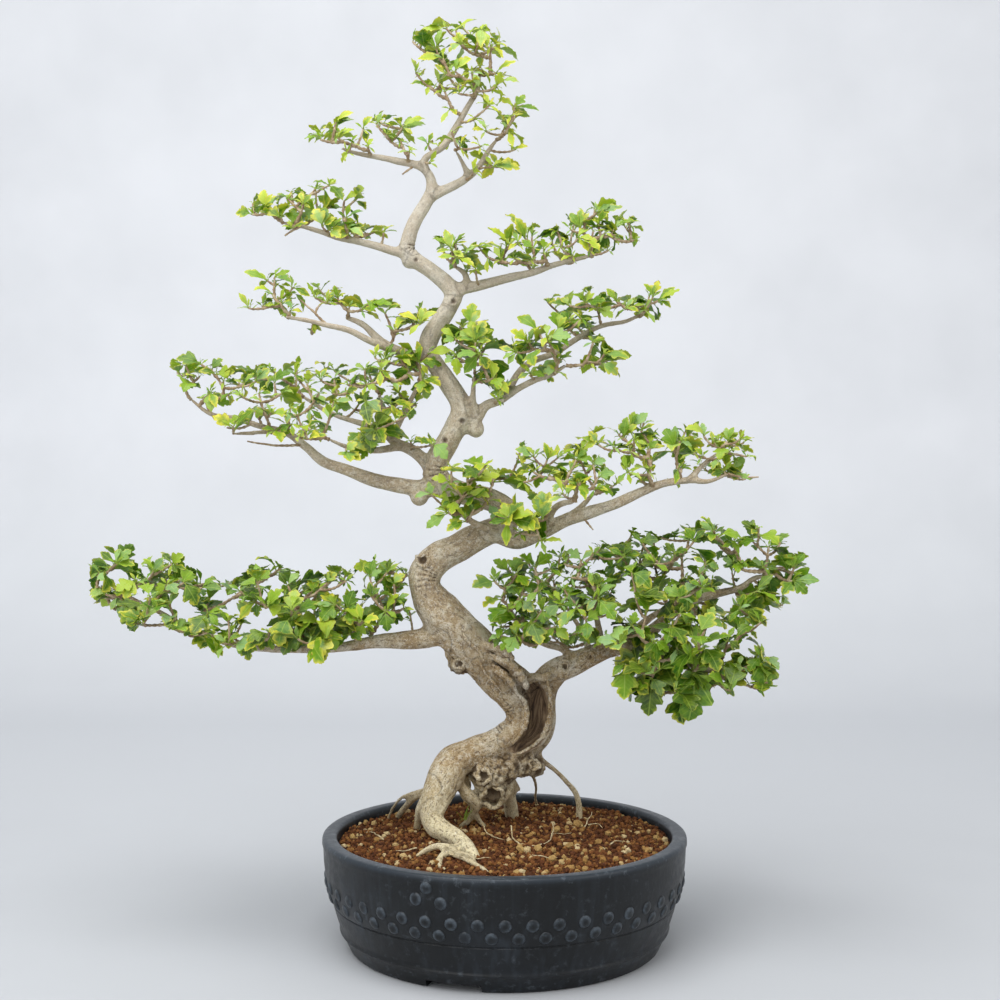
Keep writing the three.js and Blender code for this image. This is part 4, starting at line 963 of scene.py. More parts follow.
def buildPot():
    centre = Vector((potMiddle.x, potMiddle.y, 0))
    outline = [centre + Vector((r * mm, 0, z * mm)) for r, z in potMade["outline"]]
    mesh = bpy.data.meshes.new("pot_shell")
    mesh.from_pydata(outline, [(i, i + 1) for i in range(len(outline) - 1)], [])
    shell = bpy.data.objects.new("pot_shell", mesh)
    bpy.context.collection.objects.link(shell)
    choose(shell)
    bpy.ops.object.mode_set(mode="EDIT")
    bpy.ops.mesh.select_all(action="SELECT")
    bpy.ops.mesh.spin(steps=potMade["steps"], angle=2 * math.pi, center=centre, axis=(0, 0, 1))
    bpy.ops.mesh.select_all(action="SELECT")
    bpy.ops.mesh.remove_doubles(threshold=0.02 * mm)
    bpy.ops.mesh.normals_make_consistent(inside=False)
    bpy.ops.object.mode_set(mode="OBJECT")
    # three notches through the foot ring, four drain holes through the floor
    cutters = []
    for turn in (0, 120, 240):
        bpy.ops.mesh.primitive_cube_add(size=1, location=(0, 0, 0))
        block = bpy.context.object
        block.scale = (80 * mm, potMade["notchWidth"] * mm, (2 * potMade["footHeight"] - 1) * mm)
        bpy.ops.object.transform_apply(location=False, rotation=False, scale=True)
        applyModifier(block, "BEVEL", width=2 * mm, segments=3)
        block.data.transform(Matrix.Translation((potMade["footCircle"] * mm, 0, 0)))
        block.data.transform(Matrix.Rotation(math.radians(potMade["notchAngle"] + turn), 4, "Z"))
        block.data.transform(Matrix.Translation(centre))
        cutters.append(block)
    for turn in (45, 135, 225, 315):
        bpy.ops.mesh.primitive_cylinder_add(vertices=32, radius=potMade["drainRadius"] * mm, depth=40 * mm)
        hole = bpy.context.object
        hole.data.transform(Matrix.Translation((potMade["drainCircle"] * mm, 0, 18 * mm)))
        hole.data.transform(Matrix.Rotation(math.radians(turn), 4, "Z"))
        hole.data.transform(Matrix.Translation(centre))
        cutters.append(hole)
    cutter = joinAll("pot_cutter", cutters)
    applyModifier(shell, "BOOLEAN", operation="DIFFERENCE", object=cutter, solver="EXACT")
    bpy.data.objects.remove(cutter)
    choose(shell)
    bpy.ops.object.shade_smooth_by_angle(angle=math.radians(38))
    # drum nails: one low stud with a rolled foot, copied round the wall
    bpy.ops.mesh.primitive_uv_sphere_add(segments=24, ring_count=12, radius=1)
    stud = bpy.context.object
    bpy.ops.object.mode_set(mode="EDIT")
    bpy.ops.mesh.select_all(action="SELECT")
    bpy.ops.mesh.bisect(plane_co=(0, 0, -0.35), plane_no=(0, 0, 1), clear_inner=True, use_fill=True)
    bpy.ops.object.mode_set(mode="OBJECT")
    radius, stand = potMade["bossRadius"] * mm, potMade["bossStand"] * mm
    stud.data.transform(Matrix.Diagonal((radius, radius, stand, 1)))
    pitch = 360 / potMade["bosses"]
    spots = [((i + 0.5) * pitch, potMade["upperRow"]) for i in range(potMade["bosses"])]
    spots += [(i * pitch, potMade["lowerRow"]) for i in range(potMade["bosses"])]
    spots += potMade["cluster"]
    studs = []
    for angle, z in spots:
        copy = bpy.data.objects.new("drum_nail", stud.data.copy())
        bpy.context.collection.objects.link(copy)
        lean = math.atan2(wallRadius(z + 5) - wallRadius(z - 5), 10)
        turn = Matrix.Rotation(math.radians(angle), 4, "Z")
        stands = Matrix.Translation((wallRadius(z) * mm - 0.2 * stand, 0, z * mm))
        tilt = Matrix.Rotation(math.pi / 2 + lean, 4, "Y")
        copy.data.transform(Matrix.Translation(centre) @ turn @ stands @ tilt)
        studs.append(copy)
    bpy.data.objects.remove(stud)
    nails = joinAll("drum_nails", studs)
    crown = np.abs(np.hypot(*(corners(nails)[:, :2] - np.array(centre[:2])).T) / mm)
    walls = np.array([wallRadius(z / mm) for z in corners(nails)[:, 2]])
    # the lightened ring on each stud: wear, and partly a painted highlight
    setAttribute(nails, "studWearAndHighlight", smoothStep(0.1, 0.9, crown - walls) * smoothStep(2.5, 1.5, crown - walls))
    setAttribute(shell, "studWearAndHighlight", np.zeros(len(shell.data.vertices)))
    choose(nails)
    bpy.ops.object.shade_smooth_by_angle(angle=math.radians(50))
    return joinAll("pot_drum", [shell, nails])


dress(buildPot(), "pot", ["pot"])
report("pot made")


soilMade = {
    "edge": 116.6,  # height of the bed at the wall
    "mound": 4.4,  # how much higher it is in the middle
    "radius": 193,
    "blank": 90,  # height of the disc before it is fitted to the pot
    "taper": [174, 18],  # the fitted body's radius at its foot, and how much it gains up to the bed
    "body": [19, 94.6],  # height of its foot, and from there up to the bed's rim
    "grainPitch": 5.0,
    "grainRadius": [1.6, 3.8],
    "seed": 11,
}


def soilHeight(x, y):
    # height of the bed over a spot, both from the pot's middle, in millimetres
    far = math.hypot(x, y) / soilMade["radius"]
    waves = 1.6 * noise.noise(Vector((x / 40, y / 40, 2.0)))
    waves += 0.9 * noise.noise(Vector((x / 14, y / 14, 5.0)))
    return soilMade["edge"] + soilMade["mound"] * (1 - far ** 4) + waves


def buildBed():
    # a disc of rings, lowered over the wall's inside into a body that fills the pot
    bpy.ops.mesh.primitive_circle_add(vertices=138, radius=soilMade["radius"] * mm, fill_type="TRIFAN")
    bed = bpy.context.object
    bpy.ops.object.mode_set(mode="EDIT")
    bpy.ops.mesh.select_all(action="SELECT")
    bpy.ops.mesh.extrude_region_move(TRANSFORM_OT_translate={"value": (0, 0, soilMade["blank"] * mm)})
    bpy.ops.object.mode_set(mode="OBJECT")
    applyModifier(bed, "SUBSURF", subdivision_type="SIMPLE", levels=2, render_levels=2)
    places = corners(bed)
    (footRadius, gain), (foot, rise) = soilMade["taper"], soilMade["body"]
    for p in places:
        x, y, z = p / mm
        if z > soilMade["blank"] - 1:
            p[2] = soilHeight(x, y) * mm
        else:
            share = z / soilMade["blank"]
            p[:2] *= (footRadius + gain * share) / soilMade["radius"]
            p[2] = (foot + rise * share) * mm
    places[:, :2] += potMiddle.xy
    setCorners(bed, places)
    bed.name = "soil_bed"
    faceOutward(bed)
    bpy.ops.object.shade_smooth_by_angle(angle=math.radians(50))
    setAttribute(bed, "tone", np.full(len(places), 0.15))
    return bed


def scatterGranules():
    # one angular granule, copied over the bed with its own turn, stretch and shade
    bpy.ops.mesh.primitive_ico_sphere_add(subdivisions=1, radius=1)
    seedStone = bpy.context.object
    pebble = corners(seedStone)
    faces = np.array([list(f.vertices) for f in seedStone.data.polygons])
    bpy.data.objects.remove(seedStone)
    chance = np.random.default_rng(soilMade["seed"])
    pitch, reach = soilMade["grainPitch"], soilMade["radius"] - 1.0
    spots = []
    row = 0
    y = -reach
    while y < reach:
        x = -reach + (row % 2) * pitch / 2
        while x < reach:
            px, py = x + chance.uniform(-0.42, 0.42) * pitch, y + chance.uniform(-0.42, 0.42) * pitch
            if math.hypot(px, py) < reach:
                spots.append((px, py))
            x += pitch
        y += pitch * 0.87
        row += 1
    allPlaces, allTones = [], []
    small, large = soilMade["grainRadius"]
    for px, py in spots:
        size = small + (large - small) * chance.random() ** 1.7
        stone = chance.random() < 0.07  # a lighter and larger one
        size *= 1.45 if stone else 1
        spin = chance.uniform(0, 6.28)
        turn = np.array(Matrix.Rotation(spin, 3, Vector(chance.normal(size=3)).normalized()))
        shape = pebble * (1 + chance.uniform(-0.2, 0.2, (len(pebble), 1))) * chance.uniform(0.65, 1.15, 3)
        far = math.hypot(px, py)
        if far + size >= reach + 1:
            px, py = px * (reach - size) / far, py * (reach - size) / far
        z = soilHeight(px, py) + size * chance.uniform(-0.25, 0.65)
        middle = np.array([potMiddle.x + px * mm, potMiddle.y + py * mm, z * mm])
        allPlaces.append(shape @ turn.T * size * mm + middle)
        tone = chance.beta(2.2, 3.2)  # mostly darker than the middle
        if stone:
            tone = chance.uniform(0.78, 1.0)
        allTones.append(np.full(len(pebble), tone))
    count = len(spots)
    allFaces = (faces[None] + (np.arange(count) * len(pebble))[:, None, None]).reshape(-1, 3)
    granules = newMesh("soil_granules", np.concatenate(allPlaces), allFaces.tolist())
    setAttribute(granules, "tone", np.concatenate(allTones))
    return granules, count


dress(buildBed(), "soil", ["soil"])
granules, granuleCount = scatterGranules()
dress(granules, "soil", ["soil"])
report(f"soil laid, {granuleCount} granules")

# rootlets on the soil: across and depth from the pot's middle, height over the bed
rootlets = {
    "thickness": 0.75,
    "lines": [
        [[7, -18, 14], [9, -26, 5], [13, -38, 1.5], [22, -52, 1.2], [34, -60, 1.5], [44, -54, 2],
         [52, -38, 3], [54, -22, 5], [60, -8, 4], [70, -4, 2], [80, 2, 1.5]],
        [[54, -24, 4], [57, -4, 8], [56, 14, 12]],
        [[96, 30, 2], [102, 44, 9], [108, 56, 15]],
        [[100, 36, 3], [112, 30, 6], [118, 22, 2]],
        [[-140, -20, 2], [-150, -8, 4], [-156, 8, 2], [-166, 14, 1]],
        [[-60, -104, 4], [-44, -112, 3], [-30, -116, 2], [-14, -112, 1.5]],
        [[-98, -74, 3], [-112, -80, 2], [-124, -74, 1]],
        [[-26, 4, 12], [-20, -14, 4], [-8, -26, 1.5], [2, -30, 1]],
        [[120, -50, 1.5], [128, -38, 3], [140, -34, 1]],
        [[30, -100, 1.5], [44, -108, 2.5], [60, -106, 1]],
    ],
}


def buildRootlets():
    strands = []
    for k, line in enumerate(rootlets["lines"]):
        rows = []
        for x, y, over in line:
            z = soilHeight(x, y) + over + 1.5
            rows.append(Vector((potMiddle.x + x * mm, potMiddle.y + y * mm, z * mm)))
        ends = [2 * rows[0] - rows[1], *rows, 2 * rows[-1] - rows[-2]]
        strand = []
        for i in range(len(rows) - 1):
            for step in range(6):
                t = step / 6
                place = smoothPoint(ends[i:i + 4], t)
                jitter = noise.noise_vector(place * 160) * 1.2 * mm
                share = (i + t) / (len(rows) - 1)
                strand.append((place + jitter, rootlets["thickness"] * (1.15 - 0.75 * share) * mm))
        strands.append(strand)
    piece = rods("rootlets", strands, 1)
    choose(piece)
    bpy.ops.object.shade_smooth_by_angle(angle=math.radians(60))
    return piece


dress(buildRootlets(), "rootlet")


foliage = {
    "golden": 2.399963,  # radians between one leaf and the next up a shoot
    "node": 6.5 * mm,  # between two leaves on a shoot
    "stalk": 0.22,  # a leaf stalk's length, as a share of its blade
    "leafThick": 0.32 * mm,
    "shootRadius": 1.15 * mm,  # of a shoot that carries no other
    "hidden": 1.38,  # a leaf's length over what is seen of it
    "sizes": [17, 34],  # least and greatest mean length of a shoot's leaves
    "placeTries": 50,  # draws for a free place
    "sag": 0.16,  # how far a shoot hangs through, as a share of its length
    "downhill": 1.1,  # what a shoot that leads down costs besides its length
    "turnTries": 10,
    "turnStep": 0.63,  # radians a leaf is turned on until it finds room
    "outside": -3,  # a leaf this far outside its layer is left out
    "reach": 7.5,  # how far from a read leaf's middle line the layer still counts as covered
    # shoots behind the read ones, width of a blade, shade from dark to light, how far yellow and
    # brown have spread, and the share of lobed leaves
    "layers": {
        "top_tuft": {
            "limbs": ["leader", "topRight", "topShoot"],
            "shoots": 9, "width": 0.94, "tone": 0.76, "yellowing": 0.34, "browning": 0.1, "lobes": 0.1,
        },
        "upper_left": {
            "limbs": ["topLeft"],
            "shoots": 3, "width": 0.9, "tone": 0.78, "yellowing": 0.3, "browning": 0.08, "lobes": 0.1,
        },
        "second_left": {
            "limbs": ["crownLeft"],
            "shoots": 9, "width": 1.05, "tone": 0.6, "yellowing": 0.28, "browning": 0.06, "lobes": 0.2,
        },
        "upper_right": {
            "limbs": ["crownRight", "crownShoot"],
            "shoots": 9, "width": 0.92, "tone": 0.6, "yellowing": 0.24, "browning": 0.05, "lobes": 0.25,
        },
        "third_left": {
            "limbs": ["upLeft", "upLeftFront"],
            "shoots": 5, "width": 0.95, "tone": 0.62, "yellowing": 0.28, "browning": 0.06, "lobes": 0.15,
        },
        "middle_right": {
            "limbs": ["upRight", "upRightBack", "upRightShoot"],
            "shoots": 15, "width": 1.05, "tone": 0.54, "yellowing": 0.24, "browning": 0.03, "lobes": 0.6,
        },
        "middle_left": {
            "limbs": ["left", "leftFront", "leftUp", "leftUpFront", "leftMid", "leftBack"],
            "shoots": 23, "width": 1.0, "tone": 0.5, "yellowing": 0.26, "browning": 0.02, "lobes": 0.55,
        },
        "lower_right": {
            "limbs": ["waist", "waistUp", "waistFront", "waistBack", "waistStub"],
            "shoots": 26, "width": 0.93, "tone": 0.62, "yellowing": 0.28, "browning": 0.03, "lobes": 0.55,
        },
        "low_left": {
            "limbs": ["low"],
            "shoots": 62, "width": 1.08, "tone": 0.4, "yellowing": 0.22, "browning": -0.04, "lobes": 0.8,
        },
        "low_right": {
            "limbs": ["right", "rightFront", "rightBack", "rightUp", "rightLeft", "rightRear"],
            "shoots": 96, "width": 1.08, "tone": 0.3, "yellowing": 0.18, "browning": -0.05, "lobes": 0.8,
        },
    },
    # half outlines of a blade: across and along, as shares of its length
    "blades": {
        "lobed": [[0.03, 0.0], [0.1, 0.1], [0.23, 0.22], [0.335, 0.33], [0.345, 0.38], [0.42, 0.48],
                  [0.39, 0.58], [0.19, 0.61], [0.235, 0.7], [0.235, 0.78], [0.155, 0.83], [0.14, 0.89],
                  [0.06, 0.94], [0.0, 1.0]],
        "toothed": [[0.03, 0.0], [0.09, 0.12], [0.19, 0.26], [0.275, 0.4], [0.27, 0.45], [0.31, 0.54],
                    [0.19, 0.61], [0.225, 0.7], [0.17, 0.74], [0.17, 0.81], [0.1, 0.87], [0.045, 0.95],
                    [0.0, 1.0]],
        "plain": [[0.03, 0.0], [0.075, 0.14], [0.13, 0.28], [0.19, 0.42], [0.235, 0.54], [0.22, 0.62],
                  [0.17, 0.67], [0.165, 0.75], [0.1, 0.83], [0.075, 0.91], [0.0, 1.0]],
        "young": [[0.025, 0.0], [0.07, 0.16], [0.125, 0.34], [0.155, 0.5], [0.13, 0.64], [0.085, 0.77],
                  [0.05, 0.89], [0.0, 1.0]],
        "grass": [[0.02, 0.0], [0.035, 0.3], [0.03, 0.6], [0.018, 0.85], [0.0, 1.0]],
    },
}


# Bare dead twigs: across, up and depth of three points along each.
bareTwigs = {
    "middle_left": [[[-236, 580, -8], [-270, 576, -14], [-302, 584, -20]],
        [[-300, 603, -8], [-312, 596, -14], [-326, 600, -18]],
        [[-340, 614, -10], [-350, 622, -12], [-352, 634, -12]],
        [[-284, 601, -8], [-286, 612, -10], [-296, 622, -12]]],
    "second_left": [[[-238, 836, -6], [-250, 832, -8], [-258, 825, -8]]],
    "third_left": [[[-208, 720, -18], [-222, 734, -16], [-240, 750, -14]],
        [[-222, 734, -16], [-220, 742, -14], [-212, 748, -12]]],
    "upper_left": [[[-104, 909, -4], [-112, 904, -6], [-120, 897, -6]]],
    "low_right": [[[290, 422, 0], [306, 412, -6], [318, 402, -8]],
        [[216, 396, 6], [206, 404, -14], [196, 404, -22]]],
    "lower_right": [[[262, 546, -14], [280, 540, -12], [298, 542, -10]],
        [[88, 498, -4], [98, 488, -12], [104, 480, -14]]],
}


# Rosettes of leaves as the viewer sees them, in millimetres: the shoot's tip across, up and in
# depth, then how far across and up from there each of its leaves ends.
rosettes = {
    "top_tuft": [
        [-68, 1068, -4, -29, -1, -6, 11], [-57, 1066, -4, 25, 13, 7, 6],
        [-80, 1044, -10, -17, 18, -26, 12, 7, 24, 16, 14], [-50, 1050, -14, 6, 12, -6, 14, -16, -10, 8, -2],
        [-26, 1066, -8, -12, 0, 10, -2, -2, -22, 6, -20], [-16, 1048, -6, 22, -4, 14, -15, -4, -12],
        [-72, 1033, -16, -30, -1, -12, 5, 2, 13], [-104, 1016, -12, -6, 18, 4, 14, 8, -4],
        [-58, 1018, -24, 20, 16, 4, 16], [-68, 1014, -18, -14, 12, -10, 6, 8, 12],
        [-38, 1016, -22, -14, -4, 8, -16, -8, 6, 14, -2], [-10, 1016, -6, 16, 8, -14, 6, 24, 14],
        [-6, 1006, -12, 24, -1, 8, 6, -8, -14], [-88, 1001, -8, -24, 2, -4, -11],
        [-70, 994, -14, -14, -4, 12, 4, -6, 10], [-54, 992, -24, 8, 10, -8, 0],
        [-36, 994, -20, -10, 14, 6, 12, -6, -2], [-18, 978, -20, -6, 14, -16, 2, 6, 10, 12, -8],
        [12, 976, 2, -20, 10, 12, 14, 28, -4, 14, -6], [8, 966, -10, -10, -2, 14, 2, -4, -10],
        [-64, 974, -10, -10, 2, 8, -8, -10, -16], [-34, 962, -20, -12, -6, 6, 8, 12, -8, -10, 6],
        [-22, 948, -16, -16, 2, -6, -10, 12, 2], [4, 948, -4, 6, -18, -10, 10, 10, -4],
        [-52, 930, -22, -10, 10, 12, 8, 4, -12], [-28, 930, -22, -14, 4, 12, 0, -2, -10],
        [12, 926, 4, 16, 4, -8, 6], [-14, 906, -6, 32, -3, 10, 8, -8, 12], [-36, 900, -24, 10, -8, 6, 8],
        [-90, 932, -10, -14, 8, 6, 14, 14, -2, -4, -8], [-88, 910, -14, 10, -6],
    ],
    "upper_left": [
        [-216, 938, -10, -20, 0, -8, 14, 6, 12], [-198, 958, -6, 22, 12, 12, 4, -8, -8],
        [-196, 940, -20, 10, 12, 20, 10, -2, -8], [-180, 934, -18, 8, 10, -4, -10, 12, -4],
        [-166, 950, -8, -10, 8, 12, 16, 6, -6], [-184, 922, -20, -4, -8, 8, -4],
        [-150, 956, -10, 12, 6, 6, 14, 18, -2, -10, 2], [-160, 930, -16, -4, 10, 8, -8],
        [-138, 944, -14, -6, 8, 8, -4], [-120, 952, -6, 28, 11, -6, 10, 12, -8],
        [-122, 936, -10, 10, -2, -2, -8], [-112, 924, -18, -14, -2, 10, 2, 8, -6],
    ],
    "second_left": [
        [-296, 850, -4, -20, 1, -6, 8], [-282, 858, -10, 0, 22, -10, 4, 12, 4, 10, 16],
        [-262, 846, -14, -18, 10, 8, 4, 0, 12], [-254, 868, -4, -14, 6, 10, -2, 4, 8],
        [-250, 834, -16, -12, 2, 20, 6, -6, 8], [-236, 862, -14, -10, 6, 10, 12, -4, 14, 8, -4],
        [-222, 880, -6, -10, 4, 10, -2], [-206, 884, -6, -20, 4, 8, 4, -2, 10, 16, -18],
        [-214, 836, -22, -10, 22, 4, 24, 16, 10], [-206, 832, -20, 14, -10, 18, 2],
        [-188, 866, -6, 18, 10, 10, 4], [-186, 846, -12, 20, 8, 4, 16, 10, -4, -10, 8],
        [-184, 834, -14, 18, -10, 12, 4], [-142, 829, -6, -16, 1, 16, 1],
    ],
    "upper_right": [
        [-62, 808, -20, -24, 14, -8, 24, -18, -2, 14, -8], [-58, 816, -20, 12, 12, -4, 12, 14, 2],
        [-56, 800, -26, -22, 0, -6, -10, 20, -11, 10, -4], [-48, 802, -24, 20, 4, 18, 12, -12, 4],
        [-30, 812, -14, 16, 0, 8, 4], [-20, 800, -20, -6, 14, 6, -14, 0, -18],
        [-34, 784, -20, -8, -6, 6, -2], [-4, 796, -24, -8, 16, 4, 14, -10, -6],
        [6, 814, -20, -26, 20, -14, 8, -6, 14], [24, 822, -14, -25, 30, -12, 26, -14, 10],
        [16, 816, -22, -6, 16, -12, -8, 6, -8], [32, 824, -12, 0, 14, 8, 6],
        [34, 810, -22, -14, 10, 4, 10, -8, 2, 8, -2], [12, 798, -26, -10, 2, 8, -2, -6, -8, 6, 8],
        [30, 796, -26, 6, -6, -8, 4, 8, 4], [46, 808, -20, -2, 14, 10, 10, 2, -6],
        [66, 812, -24, -16, -6, -4, -10, -10, 2, 6, -6], [64, 824, -14, -22, -2, -8, 2, 8, -4],
        [62, 830, -16, -12, 2, -2, 10, -8, -6], [78, 832, -14, -12, 10, -6, -6],
        [88, 834, -14, -8, 12, 2, 22, 12, 18, -12, 18], [94, 850, -6, -8, 8, 10, 8],
        [108, 852, -4, 30, 7, -2, 14, 16, 10], [110, 838, -8, 14, 16, 6, 18, -6, 8],
        [104, 830, -12, 14, 2, -8, 8], [86, 822, -30, 26, -16, 12, -16, 20, -2],
        [100, 808, -20, -2, -8, 6, -6], [80, 802, -24, -14, -6, 2, -8, -8, 6],
        [118, 828, -14, -6, -12, 10, -6, 4, 4], [130, 826, -8, 4, -12, 10, -2],
        [128, 832, -6, 22, 14, 12, 12, 30, 10], [146, 840, -6, 6, -12, 14, 2], [144, 818, -6, -2, 8, 6, 6],
        [152, 820, -6, 8, 4, 2, -6], [122, 808, -8, -10, 0, 6, -6],
    ],
    "third_left": [
        [-300, 740, -6, -14, 0, -12, 18, 0, 12], [-278, 772, -2, -28, 11, -10, 10],
        [-270, 776, -4, 18, 8, 8, 6, 20, -6], [-284, 742, -10, 4, 16, -8, 6, 14, 2],
        [-272, 756, -8, -24, 5, -10, 4], [-262, 746, -14, 4, 18, 12, 4, -10, -4],
        [-248, 764, -6, 20, -10, -14, 4], [-252, 736, -14, 16, -1, 6, 10, -10, -6],
        [-222, 752, -12, -10, 18, 4, 8, 10, 0], [-208, 746, -14, 2, 16, -10, -2, 8, 10, 12, -2],
        [-196, 752, -8, -4, 15, 10, 6], [-182, 742, -8, -14, 6, 10, 0, 4, 8],
        [-168, 738, -8, -8, 8, 10, 8, 18, -2, 4, -10], [-160, 744, -6, 28, 0],
        [-140, 734, -4, 20, 10, -6, 6], [-224, 724, -14, 2, -10], [-128, 712, -4, -12, 8, 14, 12, -2, 10],
        [-98, 722, -22, -28, 11, -14, -14, 0, 20, 20, 14, 8, 8],
    ],
    "middle_right": [
        [-40, 718, -24, 3, 28, 12, 20, -10, 4],
        [-34, 700, -34, -18, 13, -5, 25, 12, 27, 23, 14, -26, 2, 18, 2],
        [-58, 704, -28, -18, 12, -14, -4, 6, 10], [-30, 686, -40, -17, -22, 10, -18, -26, -4, 12, -2],
        [-58, 684, -36, 2, -24, -12, -8, -8, 8], [-13, 658, -34, 19, -20, 7, -14],
        [-30, 656, -30, -8, -10, 8, -6], [-8, 632, -34, -10, 8, 10, 2, 4, -8],
        [28, 700, -34, -21, 14, -19, -4, -8, -10, 6, 16], [39, 712, -24, -26, 19, -13, 16, 10, 4],
        [14, 688, -34, -20, 6, -16, -8, 8, -10, -10, -14], [50, 706, -34, 28, 0, 10, 10, -6, -12],
        [52, 700, -36, 24, -5, 12, -10, 6, 12], [63, 715, -26, -6, 21, 10, 15, 3, 19],
        [76, 724, -20, -10, 12, 16, 0, 8, 10], [90, 728, -20, -10, 8, 14, -2, 6, -10, -4, -12],
        [76, 743, -12, -24, 3, -10, 9], [95, 746, -14, -8, 12, 11, 12, 24, 2, -17, 10, 5, 14],
        [108, 740, -16, 19, -11, 12, -4, -10, -4], [132, 747, -8, -12, 16, -4, 13],
        [141, 740, -10, 11, 12, 17, -4, -7, -6, 7, 4], [150, 742, -8, 14, 2, 6, 10],
        [165, 738, -8, 11, -15, -9, -6], [174, 753, -6, -11, 16, 3, 15, 10, 7],
        [180, 749, -6, 16, 4, 16, -9, 26, 13], [117, 686, -14, 29, -5, 11, 4],
        [113, 676, -14, 20, -15, -9, 8], [100, 676, -16, -10, -6, 6, -8],
        [104, 700, -24, -12, -6, 14, 4, -6, 8], [30, 664, -30, -14, -6, 10, 8, -6, 8, 18, -4],
        [60, 666, -24, -10, 8, 14, -10, -16, -2], [64, 680, -30, -10, 8, 12, 4],
    ],
    "middle_left": [
        [-374, 672, 0, -14, 6, 14, 8, 0, 10], [-356, 674, -4, -30, 7, -6, -6, 8, 6],
        [-344, 668, -4, 14, 13, -6, 0, 10, 4], [-338, 662, -6, -22, 4, 22, 4, 14, -6],
        [-330, 654, -10, 8, 14, -2, -10], [-376, 656, -4, 2, -14, -10, 6, 12, -8],
        [-346, 640, -10, -12, -6, 8, -18, -4, 8, 2, -22], [-322, 640, -10, -12, -10, 8, 4, 4, -8, 16, -4],
        [-306, 652, -8, -12, 4, 12, 12, -2, 12], [-292, 654, -10, 16, 15, 8, 14, -8, -8],
        [-288, 640, -20, -8, -4, 8, 10, 14, 0], [-270, 652, -8, 8, 16, -6, 10, 20, 12],
        [-262, 640, -22, 16, 0, 0, -10, 10, 10, -12, -4], [-246, 662, -8, 4, 16, -10, 6, 10, -8],
        [-300, 604, -12, -30, 0, -20, 2, -2, 8], [-282, 622, -22, -14, -4, 12, 4, -10, -12],
        [-252, 622, -24, -10, -8, 8, -6, -4, -18, 12, 6], [-250, 604, -28, -12, -12, 2, -14, 10, -6],
        [-268, 596, -26, -18, 2, -12, -8, 6, -14], [-232, 600, -26, -14, 2, 6, 6, -8, -12],
        [-222, 598, -28, 14, -4, 6, -16, -10, -8], [-228, 622, -22, 0, -16, 14, -12, -8, -6],
        [-232, 652, -12, -12, 8, 10, 4, 2, 16], [-216, 656, -10, 8, 14, -6, 12, -12, 8, 12, 4],
        [-218, 640, -18, -8, -8, 10, 0, 6, -14, -12, 6], [-200, 656, -10, 10, 12, -12, 6, 8, 0],
        [-202, 640, -14, 6, 10, -10, 6, 12, 0], [-200, 630, -28, 20, 2, 4, -14, -8, -8],
        [-184, 650, -12, 12, 4, -10, 2], [-186, 640, -14, 14, 6, 8, -10],
        [-164, 668, -20, -24, -8, -12, 6, 6, 10], [-162, 650, -22, -12, 2, 12, -6, -4, -12, 6, 6],
        [-164, 632, -26, 6, -30, -12, -2, 18, -14], [-152, 682, -14, -8, 10, 12, 8, 4, 16],
        [-146, 668, -24, 0, -20, 12, -12, -12, 4], [-140, 680, -14, 10, 18, 14, 8, -10, -4],
        [-122, 680, -14, 14, 12, 4, 14, -8, -8, 12, -8],
        [-100, 676, -12, 16, 4, 2, 22, -14, 8, 28, -4, 10, -14], [-90, 686, -10, 28, 4, 10, 10],
        [-116, 664, -16, 10, -10, -10, 4, 12, 8], [-132, 652, -20, -14, 4, 14, -2, 8, -10],
        [-96, 656, -14, 22, -8, 8, -16, -4, -16], [-134, 628, -22, -12, 6, 20, -2, 8, -16, 26, -8],
        [-122, 618, -16, 12, -4, 16, 10], [-150, 600, -34, -7, -32, -22, -16, 10, -18],
        [-168, 594, -24, -16, -10, -10, -18], [-160, 574, -24, -24, -8, -8, -12],
        [-132, 596, -14, 12, -10, -8, 0], [-110, 584, -8, 26, -2, -8, -2],
        [-84, 580, -22, -8, 6, 4, -10, 18, -18, -20, 8],
    ],
    "lower_right": [
        [-64, 536, -40, -22, 4, 14, 0, -10, -12, 8, -10], [-62, 552, -40, 12, 6, -14, 0, -6, 6],
        [-44, 540, -40, 10, 16, 26, 16, 4, 16, 22, 4], [-38, 536, -40, 32, 8, 14, 4],
        [-86, 522, -38, -20, -4, -8, 6, 12, -6], [-44, 522, -44, 28, -4, 14, 4],
        [-60, 514, -46, -2, -16, -14, -6, 8, -10], [-66, 500, -44, -26, -18, -16, -2],
        [-46, 490, -44, -22, -12, -12, -2], [-36, 504, -40, 12, 4, -6, 8],
        [4, 492, -52, -22, -4, -6, 20, 18, 20, 40, -10, -2, -31, 30, 6, -18, 8],
        [18, 476, -44, 6, -10, -8, -6], [42, 468, -34, 14, -2, -6, -10, 6, -16, 26, -2],
        [44, 492, -44, -8, 28, 12, 26, 0, 34], [22, 536, -30, -12, 4, 12, -6, 6, -14, -8, -8],
        [34, 548, -24, -20, -4, 10, 8, -8, 8], [34, 566, -26, -22, 8, -10, 12, 8, 10, -14, -6],
        [50, 562, -20, -4, 22, 6, 16, 14, 12, -8, 8], [62, 564, -12, 0, 16, 22, 10, 8, 10],
        [52, 544, -28, -8, -10, 14, 4, 6, 8], [66, 536, -34, -8, -12, 14, 2, 6, -10],
        [76, 548, -30, -12, 6, 16, 8, 8, 14, 14, -4], [86, 536, -36, -12, -8, 12, -14, 6, -4, 14, 4],
        [84, 562, -26, -12, 8, 14, 12, 2, 12, 20, 0], [90, 572, -14, -10, 10, 18, 12, 6, 16],
        [110, 580, -10, -12, 16, 8, 12, -20, 8], [104, 556, -30, 10, -6, -8, -8, 16, 6, 8, 10],
        [106, 528, -40, 22, -8, -6, -12, 10, 4, 16, -2], [110, 542, -36, 20, 4, 12, -6],
